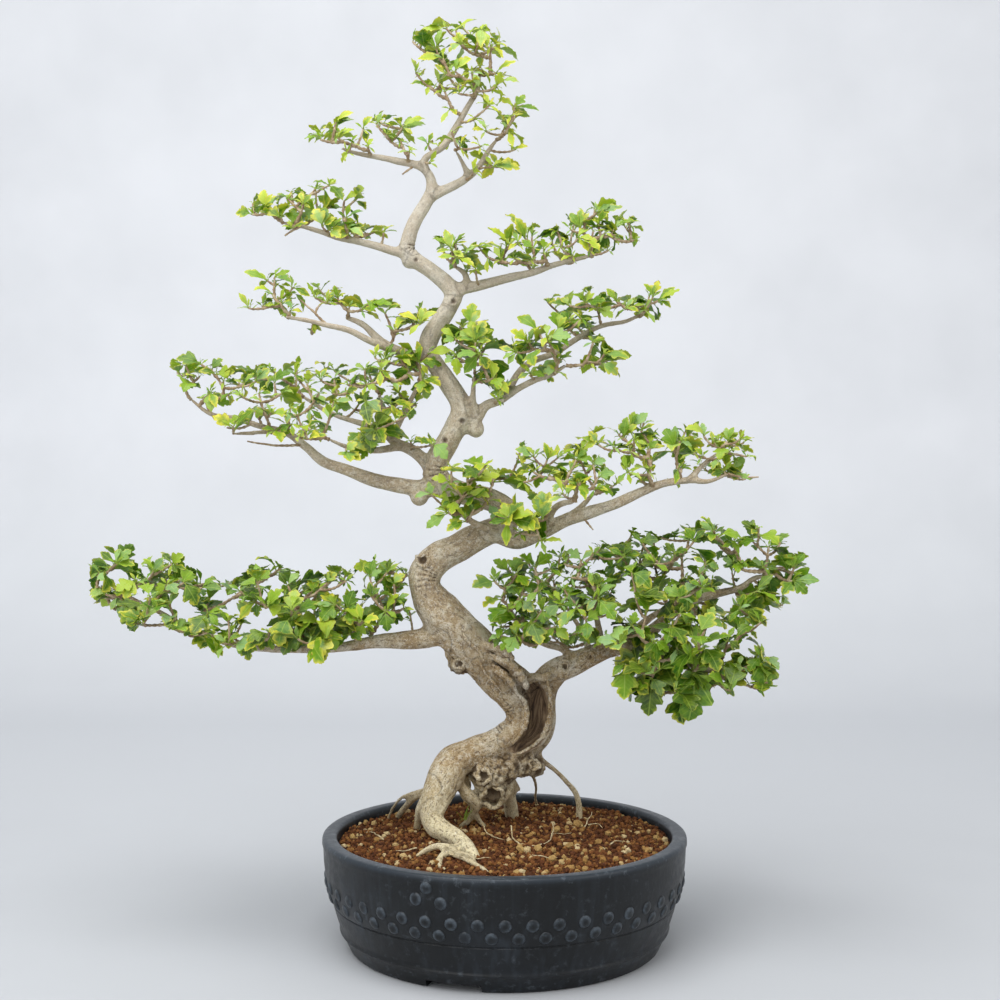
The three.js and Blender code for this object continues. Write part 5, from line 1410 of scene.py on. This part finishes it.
        [128, 576, -16, -8, 10, 10, 6, -4, -8, 8, -8], [134, 592, -14, -6, 6, -14, 8, 8, 4],
        [140, 588, -18, -6, 16, 4, 26, 16, 16, -8, -4], [148, 600, -14, 20, 17, 8, 16, -8, 10],
        [160, 596, -12, 16, 8, 6, 6, 12, -4], [152, 586, -22, 14, -6, -10, -8, 8, -12],
        [172, 588, -12, 11, -2, 8, 6], [148, 572, -28, -12, 0, 10, -6, 2, -16],
        [168, 574, -16, 20, 4, 12, 10, -10, 2], [144, 548, -40, -12, -14, 4, -14, 14, 4, -8, 8, 16, -8],
        [168, 548, -26, 8, -10, -6, 8, 10, 8], [172, 562, -20, 8, 8, -10, 4],
        [200, 576, -6, -14, 24, 0, 26, -4, 8], [206, 584, -8, 14, -6, 6, 8, 12, 4],
        [204, 552, -14, -4, -18, 6, 8], [208, 552, -12, 13, -2, 6, 6],
        [222, 570, -14, -8, 10, -16, -8, 6, -8], [232, 566, -14, -10, 10, 8, 8, -6, -10],
        [234, 590, -8, -24, 9, -8, 12, 8, 6], [246, 582, -8, -4, 14, 10, 2, 6, -6],
        [250, 564, -14, -6, -14, 8, -2, 4, -12], [262, 584, -8, -8, 8, 8, 18, -2, 16, 12, 10],
        [276, 586, -8, 14, 2, 6, 12], [264, 572, -10, -8, -6, 14, 2, 6, -6], [284, 566, -6, 12, 0, -6, 8],
        [258, 548, -10, -16, -4, 8, 12], [268, 544, -6, 22, -6, 12, 0],
    ],
    "low_left": [
        [-456, 440, -14, -18, 14, 22, -2, 6, 18, -10, 6, 18, 16], [-476, 430, -12, -10, -8, -8, 10, 6, -10],
        [-468, 404, -12, -20, 0, -12, -6, -8, 6], [-446, 392, -14, 10, -26, -6, -8],
        [-454, 402, -14, -8, -16, 8, 8], [-432, 420, -24, -24, -12, -8, 10, 12, -6, -14, -22],
        [-412, 432, -18, -12, 14, 12, 16, -8, -10], [-390, 440, -14, -12, 12, 14, 12, 6, -10, -4, -14],
        [-411, 400, -28, -9, -27, 13, -12, -13, -2], [-396, 416, -26, -14, -8, 12, -12, -8, 8],
        [-376, 418, -30, 16, -27, -8, 6, 10, 12], [-355, 412, -24, 23, -2, 11, 12, -9, -14],
        [-348, 382, -34, -19, -25, 12, -16, -4, -20, 18, 2], [-384, 374, -26, 10, -16, -10, -12],
        [-342, 350, -24, -16, -10, 6, -18, -8, 6], [-322, 360, -34, -12, -14, 12, -4, -2, -20],
        [-292, 396, -36, -19, -21, 2, -18, -12, -4, -20, 4], [-269, 386, -30, -21, 8, -7, 16, 7, 14],
        [-287, 420, -16, -5, 20, 11, 12, -11, 8], [-310, 408, -22, -12, 8, 8, 6, -16, -4],
        [-254, 414, -10, -11, 17, 14, 16], [-258, 396, -26, -12, -8, 14, 2, 6, 10],
        [-248, 382, -34, 11, -25, -10, -16, -16, 2], [-303, 348, -36, 4, -23, -9, -14, 13, -10],
        [-276, 358, -36, -11, -19, 12, -8, -14, -2, 4, -20], [-237, 358, -40, -24, -27, -9, -22, 15, -6],
        [-214, 366, -42, -2, -41, 14, -18, -14, -14, 16, -28], [-198, 392, -36, -18, -20, -26, 0, -8, 12],
        [-185, 386, -36, 8, 23, 13, 4, -11, -10, 5, -18], [-226, 408, -22, -12, -4, 8, 12, -4, 14],
        [-208, 418, -18, 12, 12, -10, -6, 4, 14], [-186, 420, -18, 10, 8, -8, 4, 6, -12],
        [-156, 402, -24, -3, 18, -12, 8, 10, 10], [-158, 424, -12, 5, 21, -8, 14, 14, 8],
        [-138, 430, -12, 4, 16, 14, 10, -8, 10], [-130, 416, -12, 14, 12, 12, 0, -10, 8],
        [-128, 398, -20, 16, 6, 10, -6, -8, 8], [-140, 384, -26, 3, -24, -10, -12, 14, -8],
        [-164, 372, -26, -8, -18, 10, -12, -12, -4], [-182, 358, -28, -14, -16, 14, -8],
        [-118, 388, -14, 12, -2, 6, -10],
    ],
    "low_right": [
        [-12, 420, -8, -2, 17, -26, -8, -6, 8, 8, 12], [-4, 398, -8, -23, -10, -4, -12],
        [0, 414, -12, 12, 8, -4, 8, 14, -10], [14, 428, -12, -18, -5, 13, -14, -6, 10, 8, 12],
        [36, 436, -12, -18, 14, 8, 16, 20, 14, -6, 10, -8, -6],
        [54, 434, -14, 6, 9, 12, -8, -6, 12, 4, 6, -10, -4], [44, 420, -20, -10, 6, 8, 8, -4, -12, 12, -8],
        [70, 440, -14, -8, -4, 6, 10, 14, 0, -4, 8], [90, 444, -14, -18, 12, -6, -4, 14, 12, 8, -8, -12, 8],
        [104, 452, -12, 8, 8, -6, 10, 12, -4], [78, 424, -22, -10, -6, 10, 4, 4, -12, 12, -4],
        [98, 430, -26, -8, -6, 10, -6, 6, -16, -6, 6], [70, 410, -30, -10, 6, 10, -4, -6, -8, 6, 8],
        [22, 412, -16, -6, -8, 8, 8, 12, -8, -12, -2], [40, 408, -26, -14, -12, 4, -16, 16, -6, -6, -10],
        [20, 398, -24, -10, -6, 8, -6, 14, -14, -6, -14], [4, 386, -20, -10, -6, -22, -16, 8, -10, 12, 4],
        [-4, 366, -18, -14, 2, -8, -6, -4, -14, 8, -8], [-4, 356, -20, -14, -4, -8, -14, 6, -6, 10, 6],
        [14, 356, -26, -18, -18, -10, -20, 6, -10, -6, 8],
        [30, 372, -32, -12, -8, -8, -20, 12, -28, 16, -10, 6, 14],
        [44, 386, -34, -8, 10, 12, 2, 2, -16, 16, -14], [66, 392, -38, -18, -20, 18, 0, -10, 4, 6, -8],
        [84, 388, -42, -18, -24, -10, -14, 8, 4, 12, -10], [96, 372, -44, 0, -22, -8, -14, 8, -10, 12, 4],
        [60, 366, -36, -12, -12, 16, -16, 6, 10, -8, 6], [84, 358, -36, -8, -12, 10, -6, -12, -2],
        [104, 398, -40, -20, 4, -12, -6, 8, 12, 14, -2], [58, 398, -30, -8, 6, 8, 2, 12, -6],
        [141, 322, -52, -1, -41, -15, -14, 11, -14], [173, 306, -56, -4, -44, -17, -16, 11, -22],
        [223, 312, -60, -8, -60, 17, -24, -23, -22, -17, -6], [210, 322, -56, 31, -40, -14, -10, 14, 8],
        [248, 299, -48, 22, -15], [300, 330, -44, 4, -42, 22, -14, -14, -18, -8, 16],
        [233, 342, -52, 19, -30, 5, -24, -13, -12], [110, 398, -44, 19, -24, -14, -14, 2, -20],
        [149, 430, -36, 24, -20, 7, -18, -11, -6], [154, 400, -44, 38, -2, 16, 8, 14, -16],
        [194, 366, -54, 18, -23, -4, -20, 12, -8], [176, 350, -54, 2, -26, -12, -14, 16, -14],
        [202, 342, -54, 9, -24, -6, -20, 16, -8], [110, 414, -36, 22, 8, -6, 14, 12, -8],
        [276, 388, -36, 32, -22, 14, 4, -12, -16], [297, 408, -30, 26, -16, 13, 6, -13, -8],
        [338, 420, -10, 32, 0, 18, -16, 12, 10, -12, -16], [340, 436, -8, 12, 16, -14, 8, -10, 16],
        [140, 448, -14, -18, 10, 12, 14, -8, -8, 20, 4], [162, 464, -10, -12, 12, 20, 4, 8, 10],
        [176, 440, -26, -16, 0, 16, -8, -8, 10], [200, 452, -22, -12, 12, 16, 4, -6, -10],
        [222, 466, -12, -10, 16, 14, 14, -18, 6, 20, 4], [246, 476, -8, -8, 12, 12, 8, -16, 14],
        [236, 440, -24, -14, 8, 16, -6, -8, -12], [268, 464, -14, -10, 14, 12, 6, -12, -4],
        [290, 468, -10, -8, 16, 14, 6, 10, 16, -14, 2], [310, 460, -8, 18, 10, 12, -4, -14, -2],
        [270, 440, -26, -14, 6, 16, -2, 4, -12], [304, 436, -20, -14, 8, 16, -2, 8, -12],
        [232, 412, -36, -16, 8, 16, -6, -6, -14, 8, 12], [206, 400, -44, -16, 10, 16, -8, 4, 16],
        [206, 382, -50, -14, -6, 18, -6, 8, -14], [240, 376, -48, -12, -12, 16, -10, 6, 14],
        [262, 350, -46, -12, -12, 14, -10, 8, 12, -6, 10], [284, 366, -40, 12, -14, -12, -10],
        [150, 368, -50, -12, -12, 14, -16, 4, 16, -8, 10], [120, 356, -46, -12, -12, 10, -16],
        [170, 330, -54, -14, -8, 12, -14], [130, 384, -46, -12, 10, 14, 4, 6, -14],
        [256, 318, -52, -12, -14, 14, -12], [276, 320, -48, -8, -12, 14, -10],
    ],
}


def seenAt(place):
    # where a place is seen on the upright plane through the pot's middle, in millimetres
    depth = (place.y - potMiddle.y) / mm
    k = 1 + depth / eye["distance"]
    across, up = (place.x - potMiddle.x) / mm, place.z / mm
    return eye["across"] + (across - eye["across"]) / k, eye["height"] + (up - eye["height"]) / k


class Cover:
    # tells how far inside a layer's read leaves a seen point is, below zero outside

    def __init__(self, rows):
        legs = [(x, z, x + ends[k], z + ends[k + 1])
                for x, z, _, *ends in rows for k in range(0, len(ends), 2)]
        self.legs = np.array(legs, dtype=float)

    def depthOf(self, x, z):
        a, edge = self.legs[:, :2], self.legs[:, 2:] - self.legs[:, :2]
        t = np.clip((((x, z) - a) * edge).sum(1) / np.maximum((edge ** 2).sum(1), 1e-9), 0, 1)
        return foliage["reach"] - np.sqrt((((x, z) - a - edge * t[:, None]) ** 2).sum(1).min())


def bladePattern(outline):
    # [across, along, edge, face] of the corners of a closed thin blade, and its faces
    rows, faces = [], []
    for x, y in outline:
        tip = x == 0
        rows.append((0, y, 1.0 if tip else 0.0, 1))
        if tip:
            break
        rows.append((0, y, 0.0, -1))
        rows.append((x, y, 1.0, 0))
        rows.append((-x, y, 1.0, 0))
    count = len(outline) - 1
    for i in range(count):
        a = 4 * i  # midrib above, midrib below, right edge, left edge
        b = 4 * (i + 1)
        if i < count - 1:
            faces += [(a, a + 2, b + 2, b), (a, b, b + 3, a + 3)]
            faces += [(a + 1, b + 1, b + 2, a + 2), (a + 1, a + 3, b + 3, b + 1)]
        else:
            faces += [(a, a + 2, b), (a, b, a + 3), (a + 1, b, a + 2), (a + 1, a + 3, b)]
    # the foot: one face that closes the blade where its stalk meets it
    faces += [(0, 3, 1, 2)]
    return np.array(rows, dtype=float), faces


def stalkPattern():
    # [share of the stalk, side] corners of a three-sided rod, and its faces
    rows = [(i, c) for i in (0, 1) for c in range(3)]
    return rows, [(c, (c + 1) % 3, 3 + (c + 1) % 3, 3 + c) for c in range(3)] + [(2, 1, 0), (3, 4, 5)]


patterns = {name: bladePattern(outline) for name, outline in foliage["blades"].items()}
stalkRows, stalkFaces = stalkPattern()


class LeafHeap:
    # the leaves of one layer, gathered into one mesh

    def __init__(self):
        self.places, self.faces, self.uv, self.values = [], [], [], []
        self.count = 0

    def add(self, foot, out, up, length, stalk, look, kind):
        # a leaf that sets off from foot, outwards and upwards, and arches over
        lift, bend, fold, wave, roll = look["lift"], look["bend"], look["fold"], look["wave"], look["roll"]
        across = out.cross(up).normalized()
        steps = 24
        total = stalk + length
        line, heading = [foot.copy()], []
        for k in range(steps):
            t = (k + 0.5) / steps
            angle = lift - bend * max(t * total - 0.5 * stalk, 0) / length
            way = out * math.cos(angle) + up * math.sin(angle)
            heading.append(way)
            line.append(line[-1] + way * (total / steps))
        twist = Matrix.Rotation(roll, 3, heading[len(heading) // 3])

        def at(distance):
            k = min(max(distance / total * steps, 0), steps - 1e-6)
            i = int(k)
            return line[i].lerp(line[i + 1], k - i), heading[i]

        rows, faces = patterns[kind]
        first = self.count
        for x, y, edge, face in rows:
            place, way = at(stalk + y * length)
            side = twist @ across
            top = side.cross(way).normalized()
            x *= look["width"]
            width = abs(x) * length
            ripple = wave * length * edge * math.sin(y * 17 + look["phase"] + (2.1 if x < 0 else 0))
            rise = fold * width - look["cup"] * width * width / length + ripple
            p = place + side * (x * length) + top * rise
            if face:
                p += top * (0.5 * face * foliage["leafThick"])
            self.places.append(p)
            self.uv.append((x / look["width"], y))
            self.values.append((edge, look["tone"], look["sere"], look["young"], look["paintedSkySheen"]))
        self.faces += [tuple(first + i for i in f) for f in faces]
        self.count += len(rows)
        first = self.count
        girth = (0.55 + 0.012 * length / mm) * mm
        for share, c in stalkRows:
            place, way = at(stalk * (share * 1.06 - 0.03))
            side = twist @ across
            top = side.cross(way).normalized()
            angle = math.pi * (2 * c / 3 + 0.5)
            r = girth * (1.25 - 0.45 * share)
            self.places.append(place + side * (r * math.cos(angle)) + top * (r * math.sin(angle)))
            self.uv.append((0, -0.1 - 0.1 * (1 - share)))
            self.values.append((0, look["tone"], 0, look["young"], 0))
        self.faces += [tuple(first + i for i in f) for f in stalkFaces]
        self.count += len(stalkRows)

    def build(self, name):
        piece = newMesh(name, self.places, self.faces)
        mesh = piece.data
        layer = mesh.uv_layers.new(name="blade")
        loops = np.empty(len(mesh.loops), dtype=np.int32)
        mesh.loops.foreach_get("vertex_index", loops)
        layer.data.foreach_set("uv", np.array(self.uv, dtype=np.float32)[loops].ravel())
        for k, mark in enumerate(leafMarks):
            setAttribute(piece, mark, [row[k] for row in self.values])
        faceOutward(piece)
        bpy.ops.object.shade_smooth_by_angle(angle=math.radians(60))
        return piece


woodRings = [ring for rows in [*trunks, *limbs.values()] for ring in sampled(rows, 5 * mm)]
woodTree = treeOf([place for place, _ in woodRings])


def inWood(place, room):
    _, i, away = woodTree.find(place)
    return away < woodRings[i][1] + room


def bezier(a, b, c, t):
    return a * (1 - t) ** 2 + b * (2 * t * (1 - t)) + c * (t * t)


def shootStrand(points, thick, thin):
    # a shoot through three points, swollen at its nodes
    a, b, c = points
    length = (b - a).length + (c - b).length
    count = max(5, round(length / (3.2 * mm)))
    strand = []
    for i in range(count + 1):
        t = i / count
        place = bezier(a, b, c, t)
        place += noise.noise_vector(place * 70) * 1.1 * mm * math.sin(math.pi * t)
        knob = 1 + 0.22 * math.cos(2 * math.pi * t * length / foliage["node"])
        strand.append((place, (thick + (thin - thick) * t) * (knob if 0.08 < t < 0.97 else 1)))
    return strand


def leafSize(read):
    # mean length of a read rosette's leaves, in millimetres
    ends = [math.hypot(read[k], read[k + 1]) for k in range(3, len(read), 2)]
    least, most = foliage["sizes"]
    return min(max(foliage["hidden"] * sum(ends) / len(ends), least), most)


def nearest(name, x, z):
    return min(rosettes[name], key=lambda read: math.hypot(read[0] - x, read[1] - z))


def growShoots(layer, name):
    # tips at the read rosettes and, behind them, at the solids' sprays and free places; each is
    # joined to the nearest wood or earlier shoot
    cover = Cover(rosettes[name])
    chance = np.random.default_rng(len(name) * 7 + layer["shoots"])
    hubs = [(onSight(*middle), reach) for *middle, reach in sprays[name].values()]
    tips = [(onSight(*read[:3]), read, leafSize(read)) for read in rosettes[name]]
    for hub, reach in hubs:
        away = Vector((0, 0.3 * reach * mm, 0))
        place = hub + away if cover.depthOf(*seenAt(hub)) > 0 else hub
        tips.append((place, None, leafSize(nearest(name, *seenAt(place)))))
    total = len(tips) + layer["shoots"]
    low, high = cover.legs[:, :2].min(0) - 8, cover.legs[:, :2].max(0) + 8
    while len(tips) < total:
        best = None
        for _ in range(foliage["placeTries"]):
            x, z = chance.uniform(low[0], high[0]), chance.uniform(low[1], high[1])
            if cover.depthOf(x, z) < foliage["reach"] * chance.uniform(0.1, 0.7):
                continue
            hub, reach = min(hubs, key=lambda h: (Vector(seenAt(h[0])) - Vector((x, z))).length)
            depth = (hub.y - potMiddle.y) / mm + reach * chance.uniform(-0.4, 1.1)
            place = onSight(x, z, depth)
            if inWood(place, 5 * mm):
                continue
            room = min((place - tip[0]).length for tip in tips)
            if best is None or room > best[0]:
                best = (room, place)
        tips.append((best[1], None, leafSize(nearest(name, *seenAt(best[1])))))
    # the wood of this layer, thick limbs first
    joints = []
    for limbName in layer["limbs"]:
        strand = sampled(limbs[limbName], 4 * mm)
        joints += [(place, None) for place, _ in strand[3:]]
    tips.sort(key=lambda t: min((t[0] - place).length for place, _ in joints))
    shoots = []
    for place, read, size in tips:
        def cost(joint):
            # the way from a joint, with a toll for leading down and for leaving a thick limb
            way = place - joint[0]
            down = max(joint[0].z - place.z, 0)
            return way.length + foliage["downhill"] * down + (5 * mm if joint[1] is None else 0)

        foot, parent = min(joints, key=cost)
        length = (place - foot).length
        knee = foot.lerp(place, 0.5) - Vector((0, 0, foliage["sag"] * length))
        knee += Vector(chance.normal(size=3)) * 0.06 * length
        joints += [(bezier(foot, knee, place, t), len(shoots)) for t in (0.3, 0.5, 0.7)]
        shoots.append({"points": [foot, knee, place], "parent": parent, "read": read, "size": size,
                       "load": 1})
        up = parent
        while up is not None:
            shoots[up]["load"] += 1
            up = shoots[up]["parent"]
    return shoots, cover


def leafLook(layer, size, age, bud, key):
    # a leaf's size and bearing: age runs from 0, the oldest of its shoot, to 1
    def pick(slot):
        return draw(key[0], key[1], slot + key[2])

    length = size * mm * (1.12 - 0.36 * age) * (0.78 + 0.44 * pick(50))
    full = min(max((length / mm - 27) / 12, 0), 1)  # the largest leaves are the oldest and darkest
    if bud:
        length = size * mm * (0.3 + 0.18 * pick(50))
    look = {
        "length": length,
        "stalk": length * foliage["stalk"] * (0.5 + pick(60)),
        "lift": math.radians(16 + 44 * age + 44 * (pick(70) - 0.5)),
        "bend": math.radians(26 + 76 * pick(80) ** 1.3 - 12 * age),
        "fold": 0.1 + 0.42 * pick(90),
        "cup": 0.5 * pick(100),
        "wave": 0.012 + 0.03 * pick(110),
        "roll": 0.9 * (pick(120) - 0.5),
        "phase": 6.28 * pick(130),
        "tone": min(max(layer["tone"] + 0.85 * (pick(140) - 0.5) + 0.12 * age - 0.42 * full, 0), 1),
        "width": layer["width"],
        "sere": layer["yellowing"] * (2.4 * pick(150) - 0.9) + layer["browning"] + 0.05 * full,
        "young": (0.2 + 0.5 * layer["tone"]) * age * (1.0 if bud else 0.5),
        # painted sky sheen: a pale cast on some leaves, none on the largest
        "paintedSkySheen": max(2.4 * pick(155) - 1.5, 0) * (1 - full),
    }
    if bud:
        look["sere"] -= 0.3
    elif pick(160) < 0.04 + 0.3 * layer["yellowing"]:
        look["sere"] += 0.22
    look["kind"] = bladeKind(layer, length, bud, pick(170))
    return look


def bladeKind(layer, length, bud, chance):
    if bud or length < 13 * mm:
        return "young"
    if length < 20 * mm and chance > 0.3:
        return "plain"
    lobes = layer["lobes"] + (0.25 if length > 32 * mm else 0)
    return "lobed" if chance < lobes else "toothed" if chance < 0.5 + 0.5 * lobes else "plain"


def readLeaves(heap, strand, layer, read, key):
    # the leaves of a read rosette: each ends where it is seen to end
    foot = strand[-1][0]
    for k in range((len(read) - 3) // 2):
        def pick(slot):
            return draw(key[0], key[1], slot + 3 * k)

        across, rise = read[3 + 2 * k:5 + 2 * k]
        seen = math.hypot(across, rise)
        rising = rise / seen
        lean = math.tan(math.radians(-14 + 44 * pick(200) - 16 * rising))
        end = onSight(read[0] + across, read[1] + rise, read[2] - seen * lean)
        reach = (end - foot).length
        out = (end - foot).normalized()
        face = Vector((0.5 * (pick(210) - 0.5), -0.62 - 0.3 * pick(220), 0.35 + 0.65 * pick(230)))
        up = (face - out * face.dot(out)).normalized()
        bend = math.radians(18 + 62 * pick(240) ** 1.4)
        length = reach / (0.97 * (1 + 0.75 * foliage["stalk"]))
        look = leafLook(layer, length / mm, 0.3, False, (key[0], key[1], k + 3))
        look["bend"], look["lift"] = bend, bend / 2
        look["length"], look["stalk"] = length, length * 0.75 * foliage["stalk"]
        kind = bladeKind(layer, length, False, pick(250))
        heap.add(foot, out, up, look["length"], look["stalk"], look, kind)


def leafShoot(heap, strand, layer, size, read, cover, key):
    # leaves up a shoot, each turned from the last by the golden angle
    index, number = key
    turn = 2 * math.pi * draw(index, number, 30)
    length = sum((b[0] - a[0]).length for a, b in zip(strand, strand[1:]))
    node = foliage["node"] * (size / 34)
    many = 2 if read else 6 if length > 55 * mm else 5  # a read rosette brings its own
    for k in range(many + 2):
        bud = k >= many  # the two youngest leaves at the tip
        back = 0.0 if bud else node * (many - 1 - k + 0.6) * (0.75 + 0.3 * draw(index, number, 40 + k))
        back = min(back, 0.75 * length)
        place, way, walked = strand[-1][0], (strand[-1][0] - strand[-3][0]).normalized(), 0.0
        for i in range(len(strand) - 1, 0, -1):
            piece = (strand[i][0] - strand[i - 1][0]).length
            if walked + piece >= back:
                place = strand[i][0].lerp(strand[i - 1][0], (back - walked) / max(piece, 1e-9))
                way = (strand[i][0] - strand[i - 1][0]).normalized()
                break
            walked += piece
        up = (way * 0.7 + Vector((0, 0, 0.8))).normalized()
        look = leafLook(layer, size, 1.0 if bud else k / max(many - 1, 1), bud, (index, number, k))
        best = None
        for attempt in range(foliage["turnTries"]):
            angle = turn + k * foliage["golden"] + attempt * foliage["turnStep"]
            lift = look["lift"] + (0.35 * (attempt % 3 - 1) if attempt > 2 else 0)
            shrink = 1.0 if attempt < 6 else 0.75
            out = (Matrix.Rotation(angle, 3, up) @ up.orthogonal().normalized()).normalized()
            reach = (look["stalk"] + look["length"]) * shrink
            slope = lift - look["bend"] / 2
            end = place + (out * math.cos(slope) + up * math.sin(slope)) * reach * 0.96
            inside = min(cover.depthOf(*seenAt(end)), cover.depthOf(*seenAt(place.lerp(end, 0.6))))
            if read and out.y < 0.2:
                inside -= 12  # a read rosette's own leaves fill its front
            if inWood(end, 4 * mm) or inWood(place.lerp(end, 0.55), 4 * mm):
                inside -= 20  # out of the question
            if best is None or inside > best[0]:
                best = (inside, out, lift, shrink)
            if inside > 0:
                break
        if best[0] < foliage["outside"]:
            continue
        _, out, lift, shrink = best
        look["lift"] = lift
        heap.add(place, out, up, look["length"] * shrink, look["stalk"] * shrink, look, look["kind"])


def buildLayer(layerName, layer, layerIndex):
    shoots, cover = growShoots(layer, layerName)
    heap, twigs = LeafHeap(), []
    for number, shoot in enumerate(shoots):
        foot = foliage["shootRadius"] * (0.9 + 0.55 * math.sqrt(shoot["load"]))
        strand = shootStrand(shoot["points"], foot, foliage["shootRadius"])
        twigs.append(strand)
        key = (layerIndex + 60, number)
        leafShoot(heap, strand, layer, shoot["size"], shoot["read"], cover, key)
        if shoot["read"]:
            readLeaves(heap, strand, layer, shoot["read"], key)
    for twig in bareTwigs.get(layerName, []):
        points = [onSight(*row) for row in twig]
        twigs.append(shootStrand(points, 1.5 * foliage["shootRadius"], 0.8 * foliage["shootRadius"]))
    leaves = heap.build(layerName + "_leaves")
    stems = rods(layerName + "_twigs", twigs, 2)
    choose(stems)
    bpy.ops.object.shade_smooth_by_angle(angle=math.radians(60))
    replaced = ["spray_" + name for name in sprays[layerName]]
    dress(leaves, "leaf", replaced)
    dress(stems, "twig", replaced)
    report(f"{layerName}: {len(shoots)} shoots, {len(heap.places)} leaf corners")


for layerIndex, (layerName, layer) in enumerate(foliage["layers"].items()):
    buildLayer(layerName, layer, layerIndex)

# a few blades of grass that come up between the roots
tuft = {
    "blades": 9,
    "place": [-48, 140, 30],  # across, up, depth
    "reach": 5 * mm,  # from its middle to the farthest blade
    "length": [12, 12],  # of the shortest blade, and how much longer one may be
    "stalk": 1 * mm,
    "seed": 90,
}


def buildGrass():
    grass = LeafHeap()
    shortest, more = tuft["length"]
    for number in range(tuft["blades"]):
        across, back, away, tall, bend = [draw(tuft["seed"], number, k) for k in range(1, 6)]
        spread = Vector((across - 0.5, back - 0.5, 0)).normalized()
        foot = onSight(*tuft["place"]) + spread * tuft["reach"] * away
        blade = {"lift": 1.25, "bend": 0.5 + 0.7 * bend, "fold": 0.3, "cup": 0, "wave": 0, "roll": 0,
                 "phase": 0, "width": 1, "tone": 0.4, "sere": -0.5, "young": 0.2, "paintedSkySheen": 0}
        grass.add(foot, spread, Vector((0, 0, 1)), (shortest + more * tall) * mm, tuft["stalk"], blade,
                  "grass")
    return grass.build("grass_tuft")


dress(buildGrass(), "leaf")


studio = {
    "sweep": 1.6,  # from the pot's middle to where the paper turns up
    "turn": 0.8,  # radius of the turn
    "front": -3.0,
    "top": 4.0,
    "half": 5.0,  # of the paper's width
}


def buildStage():
    # a sheet of pale paper that runs back and curves up
    sweep, turn, half = studio["sweep"], studio["turn"], studio["half"]
    rows = [(studio["front"], 0.0), (sweep, 0.0)]
    rows += [(sweep + turn * math.sin(a), turn - turn * math.cos(a))
             for a in [math.radians(7.5 * k) for k in range(1, 13)]]
    rows.append((sweep + turn, studio["top"]))
    points = [(side, y, z - 0.0002) for y, z in rows for side in (-half, half)]  # just under the pot's foot
    faces = [(2 * i, 2 * i + 1, 2 * i + 3, 2 * i + 2) for i in range(len(rows) - 1)]
    paper = newMesh("studio_paper", points, faces)
    choose(paper)
    bpy.ops.object.shade_smooth()
    # matt paper with painted shade, darker at the foot; it gives the eye a soft grey ground
    material, shader, add = newMaterial("matt_paper")
    place = add("TexCoord", output=3)
    # painted shade: the foot is darkest beside the pot, and pales as the paper runs back and up
    back = add("Math", {0: add("SeparateXYZ", {0: place}, 1), 1: 0.12}, operation="MULTIPLY")
    height = add("Math", {0: add("SeparateXYZ", {0: place}, 2), 1: back}, operation="ADD")
    fibres = add("TexNoise", {"Vector": place, "Scale": 3, "Detail": 3, "Roughness": 0.5})
    colour = add("ValToRGB", {0: height}, stops=[
        (0.0, "#bbbec2"), (0.26, "#d2d5d9"), (0.6, "#e2e5e9"), (1.0, "#eceef2")])
    clouds = add("ValToRGB", {0: fibres}, stops=[(0.3, 0.25), (0.7, 0.0)])
    wire(shader, {
        "Base Color": add("Mix", {0: clouds, 6: colour, 7: "#c9ccd0"}, 2, data_type="RGBA"),
        "Roughness": 0.95,
    })
    paper.data.materials.append(material)


def addLight(name, place, aim, size, power, colour):
    lamp = bpy.data.lights.new(name, "AREA")
    lamp.shape = "RECTANGLE"
    lamp.size, lamp.size_y = size
    lamp.energy = power
    lamp.color = linear(colour)[:3]
    holder = bpy.data.objects.new(name, lamp)
    bpy.context.collection.objects.link(holder)
    holder.location = place
    holder.rotation_euler = (Vector(aim) - Vector(place)).to_track_quat("-Z", "Y").to_euler()


buildStage()
addLight("sky_panel", (-0.5, -0.9, 2.9), (0, 0, 0.5), (2.6, 2.2), 66, "#ffffff")
addLight("front_panel", (-1.6, -2.6, 1.6), (0, 0, 0.5), (2.2, 2.0), 24, "#fffefb")
addLight("side_panel", (2.4, -1.2, 1.5), (0, 0, 0.5), (1.8, 1.8), 14, "#fff8ee")
world = bpy.data.worlds.new("soft_room")
bpy.context.scene.world = world
world.use_nodes = True
world.node_tree.nodes["Background"].inputs[0].default_value = linear("#e9ebee")
world.node_tree.nodes["Background"].inputs[1].default_value = 0.72

lens = bpy.data.cameras.new("camera")
lens.lens = 50
lens.sensor_width = 36
lens.clip_end = 30
camera = bpy.data.objects.new("camera", lens)
bpy.context.collection.objects.link(camera)
camera.location = (potMiddle.x + eye["across"] * mm, potMiddle.y - eye["distance"] * mm, eye["height"] * mm)
camera.rotation_euler = (math.radians(90), 0, 0)
bpy.context.scene.camera = camera
bpy.context.scene.view_settings.view_transform = "Standard"

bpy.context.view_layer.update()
report("done")
